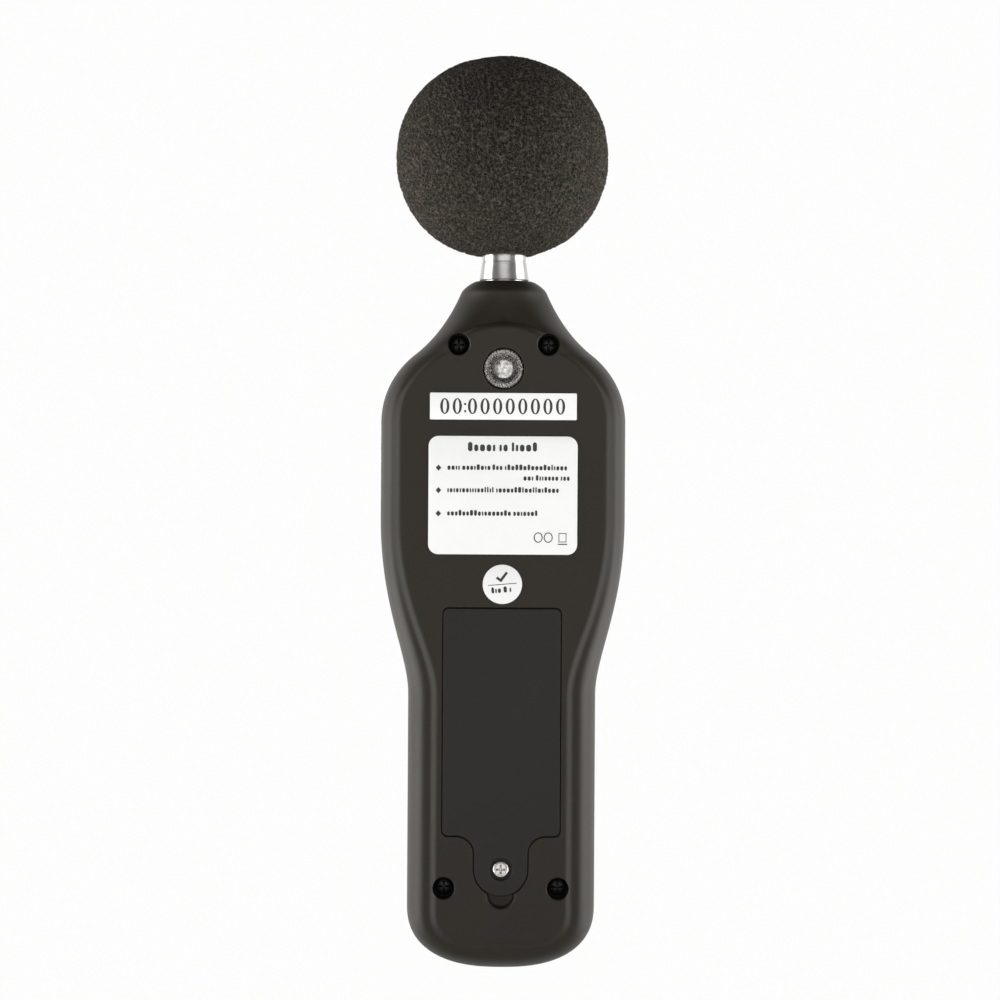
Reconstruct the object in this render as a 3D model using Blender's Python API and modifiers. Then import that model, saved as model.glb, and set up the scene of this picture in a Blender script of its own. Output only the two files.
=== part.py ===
"""A handheld sound level meter, modelled as its separate pieces at real size.

The back of the case faces +Y and the microphone points along +Z. The origin is the mouth
of the tripod socket, in the plane of the flat back panel. All sizes are in metres.
"""

from math import cos, pi, sin

import bmesh
import bpy
import numpy as np
from mathutils import Matrix, Vector

# Case: its outline, seen from behind.
HEAD_HALF = 0.0347
GRIP_HALF = 0.0266
SHOULDER_HALF = 0.0256
NOSE_RADIUS = 0.0122
NOSE_FLAT = 0.0080
CASE_LENGTH = 0.1946
CASE_TOP_Z = 0.0253
NOSE_BASE_Z = 0.0220
SHOULDER_Z = 0.0040
HEAD_TOP_Z = -0.0150
HEAD_END_Z = -0.0420
GRIP_TOP_Z = -0.0920
BOTTOM_ROUND = 0.0176
NOSE_CORNER_POWER = 1.3
BOTTOM_POWER = 2.4

# Case: how far each end of a curve in the outline holds its direction, (x, z).
NECK_HANDLE = (0.0026, -0.0060)
FLARE_HANDLE = (-0.0066, 0.0050)
SHOULDER_HANDLE = (0.0037, -0.0030)
HEAD_HANDLE_Z = 0.0097
WAIST_SHARES = (0.505, 0.775)

# Case: its section.
CASE_DEPTH = 0.0350
WALL = 0.0022
SEAM_GAP = 0.0003
REAR_SHOULDER_HEAD = 0.0046
REAR_SHOULDER_GRIP = 0.0063
REAR_POWER = 2.3
FRONT_SHOULDER = 0.0090
FRONT_POWER = 2.2
PANEL_STEP = 0.0013
PANEL_STEP_WIDTH = 0.0030
PANEL_INSET_HEAD = 0.0050
PANEL_INSET_GRIP = 0.0076
PANEL_TOP_Z = 0.0130
PANEL_TOP_RADIUS = 0.0208
NOSE_BLEND_Z = 0.0060

# Clearances between pieces that touch.
GAP = 0.0003
STICKER_GAP = 0.0001

# How far a cutter passes the faces that it cuts.
OVERSHOOT = 0.0010

# Case screws, in deep wells at the back.
SCREW_WELL_RADIUS = 0.0031
SCREW_WELL_DEPTH = 0.0080
SCREW_HEAD_RADIUS = 0.0026
SCREW_HEAD_HEIGHT = 0.0018
SCREW_SHAFT_RADIUS = 0.0013
SCREW_GRIP = 0.0080
SCREW_BOSS_WALL = 0.0012
UPPER_SCREW_X = 0.0126
UPPER_SCREW_Z = 0.0068
LOWER_SCREW_X = 0.0160
LOWER_SCREW_RISE = 0.0237

# Tripod insert.
INSERT_RADIUS = 0.0056
INSERT_LENGTH = 0.0090
INSERT_BORE_RADIUS = 0.003175
INSERT_MOUTH_RADIUS = 0.00395
INSERT_FLOOR = 0.0010
INSERT_BOSS_WALL = 0.0016

# Battery, its tray and its cover.
BATTERY_WIDTH = 0.0265
BATTERY_DEPTH = 0.0175
BATTERY_LENGTH = 0.0464
BATTERY_EDGE = 0.0020
BATTERY_END_EDGE = 0.0004
TERMINAL_HEIGHT = 0.0022
TERMINAL_SPACING = 0.0127
SNAP_THICKNESS = 0.0040
SNAP_INSET = 0.0010
SNAP_HALF_DEPTH = 0.0062
SNAP_BEVEL = 0.0012
TERMINAL_RADII = {"positive": 0.0029, "negative": 0.0038}
TRAY_WALL = 0.0013
TRAY_SIDE_ROOM = 0.0006
TRAY_END_ROOM = 0.0051
LEDGE_WIDTH = 0.0020
LEDGE_THICKNESS = 0.0015
COVER_THICKNESS = 0.0020
COVER_OVERHANG_X = 0.0026
COVER_OVERHANG_Z = 0.0030
COVER_CORNER = 0.0015
COVER_EDGE = 0.0003
COVER_LINE = 0.0003
TONGUE_HALF = 0.0075
TONGUE_LENGTH = 0.0093
TONGUE_FILLET = 0.0050
COVER_SCREW_RISE = 0.0291
COVER_SCREW_HEAD_RADIUS = 0.00225
COVER_SCREW_HEAD_HEIGHT = 0.0012
COVER_SCREW_RADIUS = 0.0013
COVER_SCREW_GRIP = 0.0040
COVER_SCREW_ROOM = 0.0007
SCREW_END_ROOM = 0.0015
COVER_RECESS_RADIUS = 0.0031
COVER_RECESS_DEPTH = 0.0012
COVER_BOSS_WALL = 0.0015
COVER_BOSS_LENGTH = 0.0090
NOTCH_HALF = 0.0039
NOTCH_REACH = 0.0035
NOTCH_DEPTH = 0.0017
TAB_X = 0.0072
TAB_HALF = 0.0022
TAB_THICKNESS = 0.0011
TAB_REACH = 0.0030
TAB_ROOT = 0.0012
TAB_ROOM = 0.0004
PAD_HALF = 0.0090
PAD_LENGTH = 0.0220
PAD_THICKNESS = 0.0011
PAD_CORNER = 0.0010

# Labels on the back.
SERIAL_LABEL = (0.0411, 0.0075, -0.0106, 0.0002)
RATING_LABEL = (0.0417, 0.0331, -0.0355, 0.0028)
LABEL_THICKNESS = 0.00012
STICKER_RADIUS = 0.0055
STICKER_Z = -0.0604

# Microphone and windscreen.
NECK_BASE_RADIUS = 0.00705
NECK_TOP_RADIUS = 0.0062
NECK_STEM_RADIUS = 0.0060
NECK_FLANGE_RADIUS = 0.0086
NECK_FLANGE_THICKNESS = 0.0022
NECK_LENGTH = 0.0077
NECK_BORE_RADIUS = 0.0040
MIC_RADIUS = 0.00625
MIC_BORE_RADIUS = 0.0050
MIC_TUBE_LENGTH = 0.0215
CAPSULE_LENGTH = 0.0040
GRID_LENGTH = 0.0030
GRID_WALL = 0.0006
GRID_TOP = 0.0008
WINDSCREEN_RADIUS = 0.0301
WINDSCREEN_HALF_HEIGHT = 0.0288
WINDSCREEN_RISE = 0.0067
WINDSCREEN_MOUTH = 0.0014

# Display, measured back from the front face.
WINDOW_WIDTH = 0.0470
WINDOW_HEIGHT = 0.0350
WINDOW_Z = -0.0245
WINDOW_CORNER = 0.0025
WINDOW_THICKNESS = 0.0012
WINDOW_LEDGE = 0.0020
LCD_MARGIN = 0.0008
LCD_THICKNESS = 0.0018
BACKLIGHT_THICKNESS = 0.0014
LCD_FRAME_WALL = 0.0011
BOARD_THICKNESS = 0.0016
BOARD_SETBACK = 0.0065
STRIP_HEIGHT = 0.0018

# Main board.
BOARD_TOP_Z = 0.0015
BOARD_HEAD_HALF = 0.0260
BOARD_TOP_HALF = 0.0200
BOARD_GRIP_HALF = 0.0195
BOARD_WAIST_Z = -0.0500
BOARD_GRIP_Z = -0.0620
BOARD_END_Z = -0.1080
BOARD_CHAMFER_Z = -0.0050
BOARD_SCREWS = ((0.0180, -0.0015), (0.0155, -0.1040))
BOARD_SCREW_RADIUS = 0.0010
BOARD_SCREW_HEAD_RADIUS = 0.0020
BOARD_SCREW_HEAD_HEIGHT = 0.0012
BOARD_SCREW_LENGTH = 0.0050
STANDOFF_RADIUS = 0.0023

# Keys, in two columns of three.
KEY_NAMES = ("power", "backlight", "hold", "max_min", "response", "weighting")
KEY_COLUMN_X = 0.0088
KEY_FIRST_Z = -0.0590
KEY_PITCH_Z = 0.0140
KEY_LENGTH = 0.0110
KEY_WIDTH = 0.0070
KEY_RISE = 0.0007
KEY_FLANGE = 0.0008
KEY_FLANGE_THICKNESS = 0.0010
KEY_TRAVEL = 0.0008
MAT_MARGIN = 0.0022
MAT_CORNER = 0.0020
KEY_EDGE = 0.0004

# Sockets and trimmer on the sides.
SOCKET_ZS = {"output_jack": -0.0190, "power_jack": -0.0330}
SOCKET_BODY = (0.0110, 0.0056, 0.0068)
SOCKET_SLEEVE_RADIUS = 0.0027
SOCKET_BORE_RADIUS = 0.0018
SOCKET_BORE_DEPTH = 0.0100
SOCKET_SINK = 0.0012
SOCKET_SETBACK = 0.0046
SIDE_HOLE_REACH = 0.0060
TRIMMER_Z = -0.0260
TRIMMER_BODY = (0.0045, 0.0056, 0.0066)
TRIMMER_ROTOR_RADIUS = 0.0017
TRIMMER_ROTOR_LENGTH = 0.0022
TRIMMER_SLOT = (0.0006, 0.0005)
TRIMMER_HOLE_RADIUS = 0.0017
TRIMMER_SINK = 0.0040

# Parts on the back of the board: (centre x, centre z, width, height, thickness).
CHIPS = {
    "processor_chip": (0.0000, -0.0300, 0.0120, 0.0120, 0.0014),
    "filter_chip": (-0.0120, -0.0110, 0.0080, 0.0100, 0.0016),
    "amplifier_chip": (0.0100, -0.0110, 0.0060, 0.0050, 0.0016),
    "crystal": (0.0000, -0.0430, 0.0110, 0.0046, 0.0030),
}
CONNECTOR = (0.0118, 0.0142, 0.0060, 0.0040, 0.0030)
LEAD_RADIUS = 0.0006
MICROPHONE_LEAD_RADIUS = 0.0009
LEAD_X = 0.0115
LEAD_SLOT = (0.0015, 0.0040)

# Values that follow from the sizes above.
CASE_BOTTOM_Z = CASE_TOP_Z - CASE_LENGTH
GRIP_END_Z = CASE_BOTTOM_Z + BOTTOM_ROUND
SEAM_Y = -CASE_DEPTH / 2
FRONT_Y = -CASE_DEPTH
LOWER_SCREW_Z = CASE_BOTTOM_Z + LOWER_SCREW_RISE
COVER_SCREW_Z = CASE_BOTTOM_Z + COVER_SCREW_RISE
COVER_LOW_Z = COVER_SCREW_Z + TONGUE_LENGTH
POCKET_LENGTH = BATTERY_LENGTH + TERMINAL_HEIGHT + SNAP_THICKNESS + TRAY_END_ROOM
POCKET_LOW_Z = COVER_LOW_Z + COVER_OVERHANG_Z
POCKET_HIGH_Z = POCKET_LOW_Z + POCKET_LENGTH
POCKET_HALF = BATTERY_WIDTH / 2 + TRAY_SIDE_ROOM
COVER_HIGH_Z = POCKET_HIGH_Z + COVER_OVERHANG_Z
COVER_HALF = POCKET_HALF + COVER_OVERHANG_X
LEDGE_Y = -COVER_THICKNESS - GAP
BATTERY_TOP_Y = LEDGE_Y - LEDGE_THICKNESS
BATTERY_LOW_Y = BATTERY_TOP_Y - BATTERY_DEPTH
TRAY_FLOOR_Y = BATTERY_LOW_Y - GAP
BATTERY_LOW_Z = POCKET_LOW_Z + GAP
BATTERY_HIGH_Z = BATTERY_LOW_Z + BATTERY_LENGTH
BATTERY_MID_Y = (BATTERY_TOP_Y + BATTERY_LOW_Y) / 2
SCREW_SEAT_Y = -SCREW_WELL_DEPTH
NECK_BASE_Z = CASE_TOP_Z + GAP
NECK_TOP_Z = NECK_BASE_Z + NECK_LENGTH
MIC_BASE_Z = NECK_TOP_Z + GAP
CAPSULE_BASE_Z = MIC_BASE_Z + MIC_TUBE_LENGTH + GAP
GRID_BASE_Z = CAPSULE_BASE_Z + CAPSULE_LENGTH + GAP
MIC_TIP_Z = GRID_BASE_Z + GRID_LENGTH
WINDSCREEN_Z = CASE_TOP_Z + WINDSCREEN_RISE + WINDSCREEN_HALF_HEIGHT
WINDSCREEN_BORE_RADIUS = MIC_RADIUS + GAP
BOARD_FRONT_Y = FRONT_Y + BOARD_SETBACK
BOARD_BACK_Y = BOARD_FRONT_Y + BOARD_THICKNESS
SOCKET_AXIS_Y = BOARD_BACK_Y + GAP + SOCKET_BODY[1] / 2

CHIPS["lead_connector"] = (CONNECTOR[0], POCKET_HIGH_Z + CONNECTOR[1], *CONNECTOR[2:])
WELD = 1e-6
SCREW_PLACES = (
    (UPPER_SCREW_X, UPPER_SCREW_Z),
    (-UPPER_SCREW_X, UPPER_SCREW_Z),
    (LOWER_SCREW_X, LOWER_SCREW_Z),
    (-LOWER_SCREW_X, LOWER_SCREW_Z),
)


# Scene and materials.


def clear_scene():
    """Removes whatever the scene holds."""
    for obj in list(bpy.data.objects):
        bpy.data.objects.remove(obj)


def new_collection(name):
    """A collection linked to the scene."""
    group = bpy.data.collections.new(name)
    bpy.context.scene.collection.children.link(group)
    return group


clear_scene()
PARTS = new_collection("sound_level_meter")
CUTTERS = new_collection("cutters")


def finish(obj, colour, roughness, metallic=0.0):
    """Gives a piece its own material."""
    material = bpy.data.materials.new(obj.name)
    material.use_nodes = True
    shader = material.node_tree.nodes["Principled BSDF"]
    shader.inputs["Base Color"].default_value = (*colour, 1.0)
    shader.inputs["Roughness"].default_value = roughness
    shader.inputs["Metallic"].default_value = metallic
    obj.data.materials.append(material)
    return obj


BLACK_CASE = ((0.035, 0.032, 0.029), 0.55)
BLACK_SATIN = ((0.020, 0.020, 0.020), 0.45)
STEEL = ((0.62, 0.62, 0.60), 0.25, 1.0)
BLACK_STEEL = ((0.03, 0.03, 0.03), 0.40, 1.0)
NICKEL = ((0.70, 0.68, 0.64), 0.28, 1.0)
LABEL_WHITE = ((0.85, 0.85, 0.84), 0.50)
FOAM = ((0.045, 0.038, 0.033), 0.95)
BOARD_GREEN = ((0.03, 0.13, 0.06), 0.45)
CHIP_BLACK = ((0.015, 0.015, 0.016), 0.50)
RUBBER_GREY = ((0.20, 0.20, 0.21), 0.75)


# Shapes.


def add_object(name, bm, group=PARTS):
    """A mesh object made from bm, its doubles merged and its faces turned outwards."""
    bmesh.ops.remove_doubles(bm, verts=bm.verts, dist=WELD)
    bmesh.ops.recalc_face_normals(bm, faces=bm.faces)
    mesh = bpy.data.meshes.new(name)
    bm.to_mesh(mesh)
    bm.free()
    obj = bpy.data.objects.new(name, mesh)
    group.objects.link(obj)
    return obj


def box(name, low, high):
    """A box between two opposite corners."""
    low, high = Vector(low), Vector(high)
    bm = bmesh.new()
    place = Matrix.Translation((low + high) / 2) @ Matrix.Diagonal((*(high - low), 1.0))
    bmesh.ops.create_cube(bm, size=1.0, matrix=place)
    return add_object(name, bm)


TURNS = {
    "+Z": Matrix.Identity(4),
    "+Y": Matrix.Rotation(-pi / 2, 4, "X"),
    "-Y": Matrix.Rotation(pi / 2, 4, "X"),
    "+X": Matrix.Rotation(pi / 2, 4, "Y"),
    "-X": Matrix.Rotation(-pi / 2, 4, "Y"),
}


def turned(name, profile, place=(0, 0, 0), along="+Z", sides=24):
    """A turned piece: profile lists (radius, height), down the outer side and up the inner."""
    closed = profile[0][0] > 0
    mesh = bpy.data.meshes.new(name)
    points = [(radius, 0.0, height) for radius, height in profile]
    edges = [(i, i + 1) for i in range(len(points) - 1)]
    if closed:
        edges.append((len(points) - 1, 0))
    mesh.from_pydata(points, edges, [])
    obj = bpy.data.objects.new(name, mesh)
    obj.matrix_world = Matrix.Translation(place) @ TURNS[along]
    PARTS.objects.link(obj)
    screw = obj.modifiers.new("Screw", "SCREW")
    screw.steps = screw.render_steps = sides
    screw.use_merge_vertices = True
    screw.merge_threshold = 1e-6
    return obj


def cylinder(name, radius, low, high, place=(0, 0, 0), along="+Z", sides=24):
    """A plain round bar between two heights along its axis."""
    return turned(name, [(0, high), (radius, high), (radius, low), (0, low)], place, along, sides)


def arc(x, z, radius, start, end, steps):
    """Points on an arc, with its angles in quarter turns from +X towards +Z."""
    angles = np.linspace(start, end, steps + 1) * pi / 2
    return [(x + radius * cos(a), z + radius * sin(a)) for a in angles]


def rounded_rectangle(half, low, high, corner, steps=4):
    """The outline of a rectangle about x = 0, from z = low to high, with round corners."""
    x, top, bottom = half - corner, high - corner, low + corner
    return (
        arc(x, top, corner, 0, 1, steps)
        + arc(-x, top, corner, 1, 2, steps)
        + arc(-x, bottom, corner, 2, 3, steps)
        + arc(x, bottom, corner, 3, 4, steps)
    )


def moved(outline, x, z):
    """An outline shifted in the plane of the case's back."""
    return [(px + x, pz + z) for px, pz in outline]


def plate(name, outline, low, high, edge=0.0):
    """A flat piece with an outline of (x, z) points, from y = low to high, edges rounded."""
    curve = bpy.data.curves.new(name, "CURVE")
    curve.dimensions = "2D"
    curve.fill_mode = "BOTH"
    spline = curve.splines.new("POLY")
    spline.points.add(len(outline) - 1)
    for point, (x, z) in zip(spline.points, outline):
        point.co = (x, z, 0.0, 1.0)
    spline.use_cyclic_u = True
    curve.extrude = (high - low) / 2 - edge
    curve.bevel_depth = edge
    curve.offset = -edge
    curve.bevel_resolution = 1
    drawn = bpy.data.objects.new(name, curve)
    drawn.matrix_world = Matrix.Translation((0, (low + high) / 2, 0)) @ TURNS["-Y"]
    PARTS.objects.link(drawn)
    return made_mesh(drawn)


def made_mesh(drawn):
    """Replaces a curve object by the mesh it draws, with its caps welded on."""
    mesh = bpy.data.meshes.new_from_object(drawn)
    name, matrix = drawn.name, drawn.matrix_world.copy()
    bpy.data.objects.remove(drawn)
    bm = bmesh.new()
    bm.from_mesh(mesh)
    bpy.data.meshes.remove(mesh)
    obj = add_object(name, bm)
    obj.matrix_world = matrix
    return obj


def wire(name, route, radius):
    """A round wire along a smooth curve through the points of its route."""
    route = np.array(route)
    ends = np.vstack([2 * route[0] - route[1], route, 2 * route[-1] - route[-2]])
    points = []
    for before, start, end, after in zip(ends, ends[1:], ends[2:], ends[3:]):
        for t in np.linspace(0, 1, 5)[:-1]:
            slope = (end - before) * t + (2 * before - 5 * start + 4 * end - after) * t**2
            points.append(start + (slope + (3 * start - before - 3 * end + after) * t**3) / 2)
    points.append(route[-1])
    curve = bpy.data.curves.new(name, "CURVE")
    curve.dimensions = "3D"
    spline = curve.splines.new("POLY")
    spline.points.add(len(points) - 1)
    for point, place in zip(spline.points, points):
        point.co = (*place, 1.0)
    curve.bevel_depth = radius
    curve.bevel_resolution = 1
    curve.use_fill_caps = True
    obj = bpy.data.objects.new(name, curve)
    PARTS.objects.link(obj)
    return obj


def combine(target, operation, tools):
    """Cuts tools from a piece, or joins them to it. The tools stay as hidden helpers."""
    group = bpy.data.collections.new(f"{target.name}_{operation.lower()}_{len(target.modifiers)}")
    CUTTERS.children.link(group)
    for tool in tools:
        PARTS.objects.unlink(tool)
        group.objects.link(tool)
        tool.hide_render = True
        tool.display_type = "WIRE"
    modifier = target.modifiers.new(operation.title(), "BOOLEAN")
    modifier.operation = operation
    modifier.operand_type = "COLLECTION"
    modifier.collection = group
    return target


# The case's surface. Rays run in from its outline to its middle line, and a height is
# worked out at each distance along them.


def smooth(value):
    """0 below 0, 1 above 1, and an S-curve between."""
    value = np.clip(value, 0, 1)
    return value * value * (3 - 2 * value)


def mix(a, b, share):
    """a where share is 0 and b where it is 1."""
    return a + (b - a) * share


def bezier(controls, steps):
    """Points (x, z) along a cubic Bezier curve, without its last one."""
    t = np.linspace(0, 1, steps + 1)[:-1, None]
    a, b, c, d = np.array(controls)
    return (1 - t) ** 3 * a + 3 * (1 - t) ** 2 * t * b + 3 * (1 - t) * t**2 * c + t**3 * d


def side_outline():
    """The case's side from the nose down to the round bottom: points (x, z)."""
    ceiling = (CASE_TOP_Z - WALL - NOSE_BASE_Z) / (CASE_TOP_Z - NOSE_BASE_Z)
    u = np.array([*np.cos(np.linspace(0, 1, 4)[:-1] * pi / 2), ceiling])
    rounded = (1 - u**NOSE_CORNER_POWER) ** (1 / NOSE_CORNER_POWER)
    nose = np.column_stack(
        [mix(NOSE_FLAT, NOSE_RADIUS, rounded), mix(NOSE_BASE_Z, CASE_TOP_Z, u)]
    )
    flare = bezier(
        [
            (NOSE_RADIUS, NOSE_BASE_Z),
            (NOSE_RADIUS + NECK_HANDLE[0], NOSE_BASE_Z + NECK_HANDLE[1]),
            (SHOULDER_HALF + FLARE_HANDLE[0], SHOULDER_Z + FLARE_HANDLE[1]),
            (SHOULDER_HALF, SHOULDER_Z),
        ],
        7,
    )
    shoulder = bezier(
        [
            (SHOULDER_HALF, SHOULDER_Z),
            (SHOULDER_HALF + SHOULDER_HANDLE[0], SHOULDER_Z + SHOULDER_HANDLE[1]),
            (HEAD_HALF, HEAD_TOP_Z + HEAD_HANDLE_Z),
            (HEAD_HALF, HEAD_TOP_Z),
        ],
        6,
    )
    head = [(HEAD_HALF, HEAD_TOP_Z), (HEAD_HALF, (HEAD_TOP_Z + HEAD_END_Z) / 2)]
    waist = bezier(
        [
            (HEAD_HALF, HEAD_END_Z),
            (HEAD_HALF, mix(HEAD_END_Z, GRIP_TOP_Z, WAIST_SHARES[0])),
            (GRIP_HALF, mix(HEAD_END_Z, GRIP_TOP_Z, WAIST_SHARES[1])),
            (GRIP_HALF, GRIP_TOP_Z),
        ],
        8,
    )
    grip = [(GRIP_HALF, z) for z in np.linspace(GRIP_TOP_Z, GRIP_END_Z, 4)[:-1]]
    return np.vstack([nose, flare, shoulder, head, waist, grip])


def rays():
    """The rays of one side: outline x, outline z, middle-line z, and slant of the outline."""
    side = side_outline()
    slope = np.gradient(side, axis=0)
    slant = np.abs(slope[:, 1]) / np.hypot(slope[:, 0], slope[:, 1])
    angles = np.linspace(0, pi / 2, 10)
    bottom_x = GRIP_HALF * np.abs(np.cos(angles)) ** (2 / BOTTOM_POWER)
    bottom_z = GRIP_END_Z - BOTTOM_ROUND * np.sin(angles) ** (2 / BOTTOM_POWER)
    bottom_x[-1] = 0.0
    x = np.concatenate([side[:, 0], bottom_x])
    z = np.concatenate([side[:, 1], bottom_z])
    spine = np.maximum(z, GRIP_END_Z)
    nose = smooth((z - NOSE_BLEND_Z) / (NOSE_BASE_Z - NOSE_BLEND_Z))
    slant = mix(np.concatenate([slant, np.ones(len(angles))]), 1.0, nose)
    grip = np.clip((HEAD_HALF - x) / (HEAD_HALF - GRIP_HALF), 0, 1) * (z < HEAD_END_Z)
    grip = np.where(z <= GRIP_TOP_Z, 1.0, grip)
    return x, z, spine, slant, nose, grip


def round_over(inset, width, power):
    """The height, from 0 to 1, of a rounded edge at an inset from its foot."""
    share = 1 - np.clip(inset / width, 0, 1)
    return (1 - share**power) ** (1 / power)


def half_form(name, side, wall, seam_y):
    """One half of the case as a solid, or of its hollow where wall is not 0.

    side is 1 for the back and -1 for the front. The solid ends flat at seam_y.
    """
    x, z, spine, slant, nose, grip = rays()
    reach = np.hypot(x, z - spine)
    depth = CASE_DEPTH / 2
    step = PANEL_STEP if side > 0 else 0.0
    height = mix(depth - step, np.where(z > NOSE_BASE_Z, x, NOSE_RADIUS), nose) - wall
    width = FRONT_SHOULDER + 0 * x
    power = FRONT_POWER
    if side > 0:
        width = mix(REAR_SHOULDER_HEAD, REAR_SHOULDER_GRIP, grip)
        power = REAR_POWER
    width = mix(width / slant, reach, nose) - wall / slant
    power = mix(power, 2.0, nose)
    start = wall / slant
    border = mix(PANEL_INSET_HEAD, PANEL_INSET_GRIP, grip) / slant
    top = x - np.sqrt(2 * PANEL_TOP_RADIUS * np.clip(PANEL_TOP_Z - z, 0, None))
    border = np.where(spine > HEAD_TOP_Z, np.maximum(border, top), border)
    shares = (0, 0.03, 0.12, 0.28, 0.52, 1) if wall == 0 else (0, 0.06, 0.3, 1)
    insets = [start + share * width for share in shares]
    if side > 0:
        insets += [border + k * PANEL_STEP_WIDTH / slant for k in (-0.4, -0.12, 0.12, 0.5)]
    insets = np.maximum.accumulate(np.column_stack([*insets, reach]), axis=1)
    insets = np.minimum(insets, reach[:, None])
    kept = z <= CASE_TOP_Z - wall + WELD
    if wall > 0:
        x, z, spine, insets, reach = (a[kept] for a in (x, z, spine, insets, reach))
        width, power, height, start, border, slant = (
            a[kept] for a in (width, power, height, start, border, slant)
        )
    share = insets / reach[:, None]
    across = x[:, None] * (1 - share)
    along = mix(z[:, None], spine[:, None], share)
    rise = round_over(insets - start[:, None], width[:, None], power[:, None])
    rise = rise * height[:, None]
    if side > 0:
        inside = (insets - border[:, None]) * slant[:, None] / PANEL_STEP_WIDTH + 0.5
        below = PANEL_TOP_Z - across**2 / (2 * PANEL_TOP_RADIUS) - along
        raised = smooth(inside) * smooth(below / PANEL_STEP_WIDTH + 0.5)
        rise = mix(rise, depth - wall, raised)
    level = SEAM_Y + side * rise
    if wall == 0:
        level = side * np.maximum(side * level, side * seam_y)
    return close_form(name, across, level, along, seam_y)


def close_form(name, across, level, along, seam_y):
    """Mirrors the rows of one side to the other and closes them at the seam and the nose."""
    rows = [np.column_stack([a, b, c]) for a, b, c in zip(across, level, along)]
    mirrored = [row * (-1, 1, 1) for row in rows[-2::-1]]
    bm = bmesh.new()
    grid = [[bm.verts.new(point) for point in row] for row in rows + mirrored]
    feet = []
    for row in grid:
        foot = row[0].co.copy()
        foot.y = seam_y
        feet.append(bm.verts.new(foot))
    for row, after, foot, next_foot in zip(grid, grid[1:], feet, feet[1:]):
        bm.faces.new((foot, row[0], after[0], next_foot))
        for corners in zip(row, row[1:], after[1:], after):
            bm.faces.new(corners)
    bm.faces.new(feet)
    bm.faces.new([feet[0], *grid[0], *grid[-1][::-1], feet[-1]])
    bmesh.ops.remove_doubles(bm, verts=bm.verts, dist=WELD)
    bmesh.ops.dissolve_degenerate(bm, dist=WELD, edges=bm.edges)
    bmesh.ops.triangulate(bm, faces=bm.faces)
    return add_object(name, bm)


def case_half(name, side, inner_forms):
    """A shell: the outer form less its hollow, which leaves the inner forms standing."""
    outer = half_form(name, side, 0.0, SEAM_Y + side * SEAM_GAP / 2)
    hollow = half_form(f"{name}_hollow", side, WALL, SEAM_Y - side * OVERSHOOT)
    combine(hollow, "DIFFERENCE", inner_forms)
    return combine(outer, "DIFFERENCE", [hollow])


# Rear shell and what is fixed to it.


def cover_outline(grow=0.0):
    """The battery cover's outline: a rectangle with a round-ended tongue at its foot."""
    corner, fillet, tongue = COVER_CORNER + grow, TONGUE_FILLET - grow, TONGUE_HALF + grow
    half = COVER_HALF + grow
    low, high = COVER_LOW_Z - grow, COVER_HIGH_Z + grow
    x, foot = half - corner, low - fillet
    right = arc(x, high - corner, corner, 1, 0, 4) + arc(x, low + corner, corner, 0, -1, 4)
    right += arc(tongue + fillet, foot, fillet, 1, 2, 5)
    end = arc(0, COVER_SCREW_Z, tongue, 0, -1, 6)
    right += end
    return right + [(-px, pz) for px, pz in right[-2::-1]]


def tab_box(name, side, room):
    """One of the cover's two tabs, or with room, the slot that it swings in."""
    x = side * TAB_X
    top = -WALL - GAP + room
    low = -WALL - GAP - TAB_THICKNESS
    reach_z = COVER_HIGH_Z + TAB_REACH + room
    root_z = COVER_HIGH_Z - TAB_ROOT
    if room:
        low, root_z = low - TAB_REACH, POCKET_HIGH_Z - room
    return box(name, (x - TAB_HALF - room, low, root_z), (x + TAB_HALF + room, top, reach_z))


def foot_slot(side):
    """Room in the ledge for the foot that joins a tab to the cover."""
    x, half = side * TAB_X, TAB_HALF + TAB_ROOM
    low = -WALL - GAP - TAB_THICKNESS
    high = LEDGE_Y + GAP / 3
    return box(
        f"foot_slot_{side}",
        (x - half, low, POCKET_HIGH_Z - TAB_ROOM),
        (x + half, high, COVER_HIGH_Z),
    )


def screw_bosses(prefix, radius):
    """Posts for the case screws, through the whole depth of the case."""
    return [
        cylinder(f"{prefix}_boss_{i}", radius, FRONT_Y - OVERSHOOT, OVERSHOOT, (x, 0, z), "+Y", 20)
        for i, (x, z) in enumerate(SCREW_PLACES)
    ]


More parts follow.
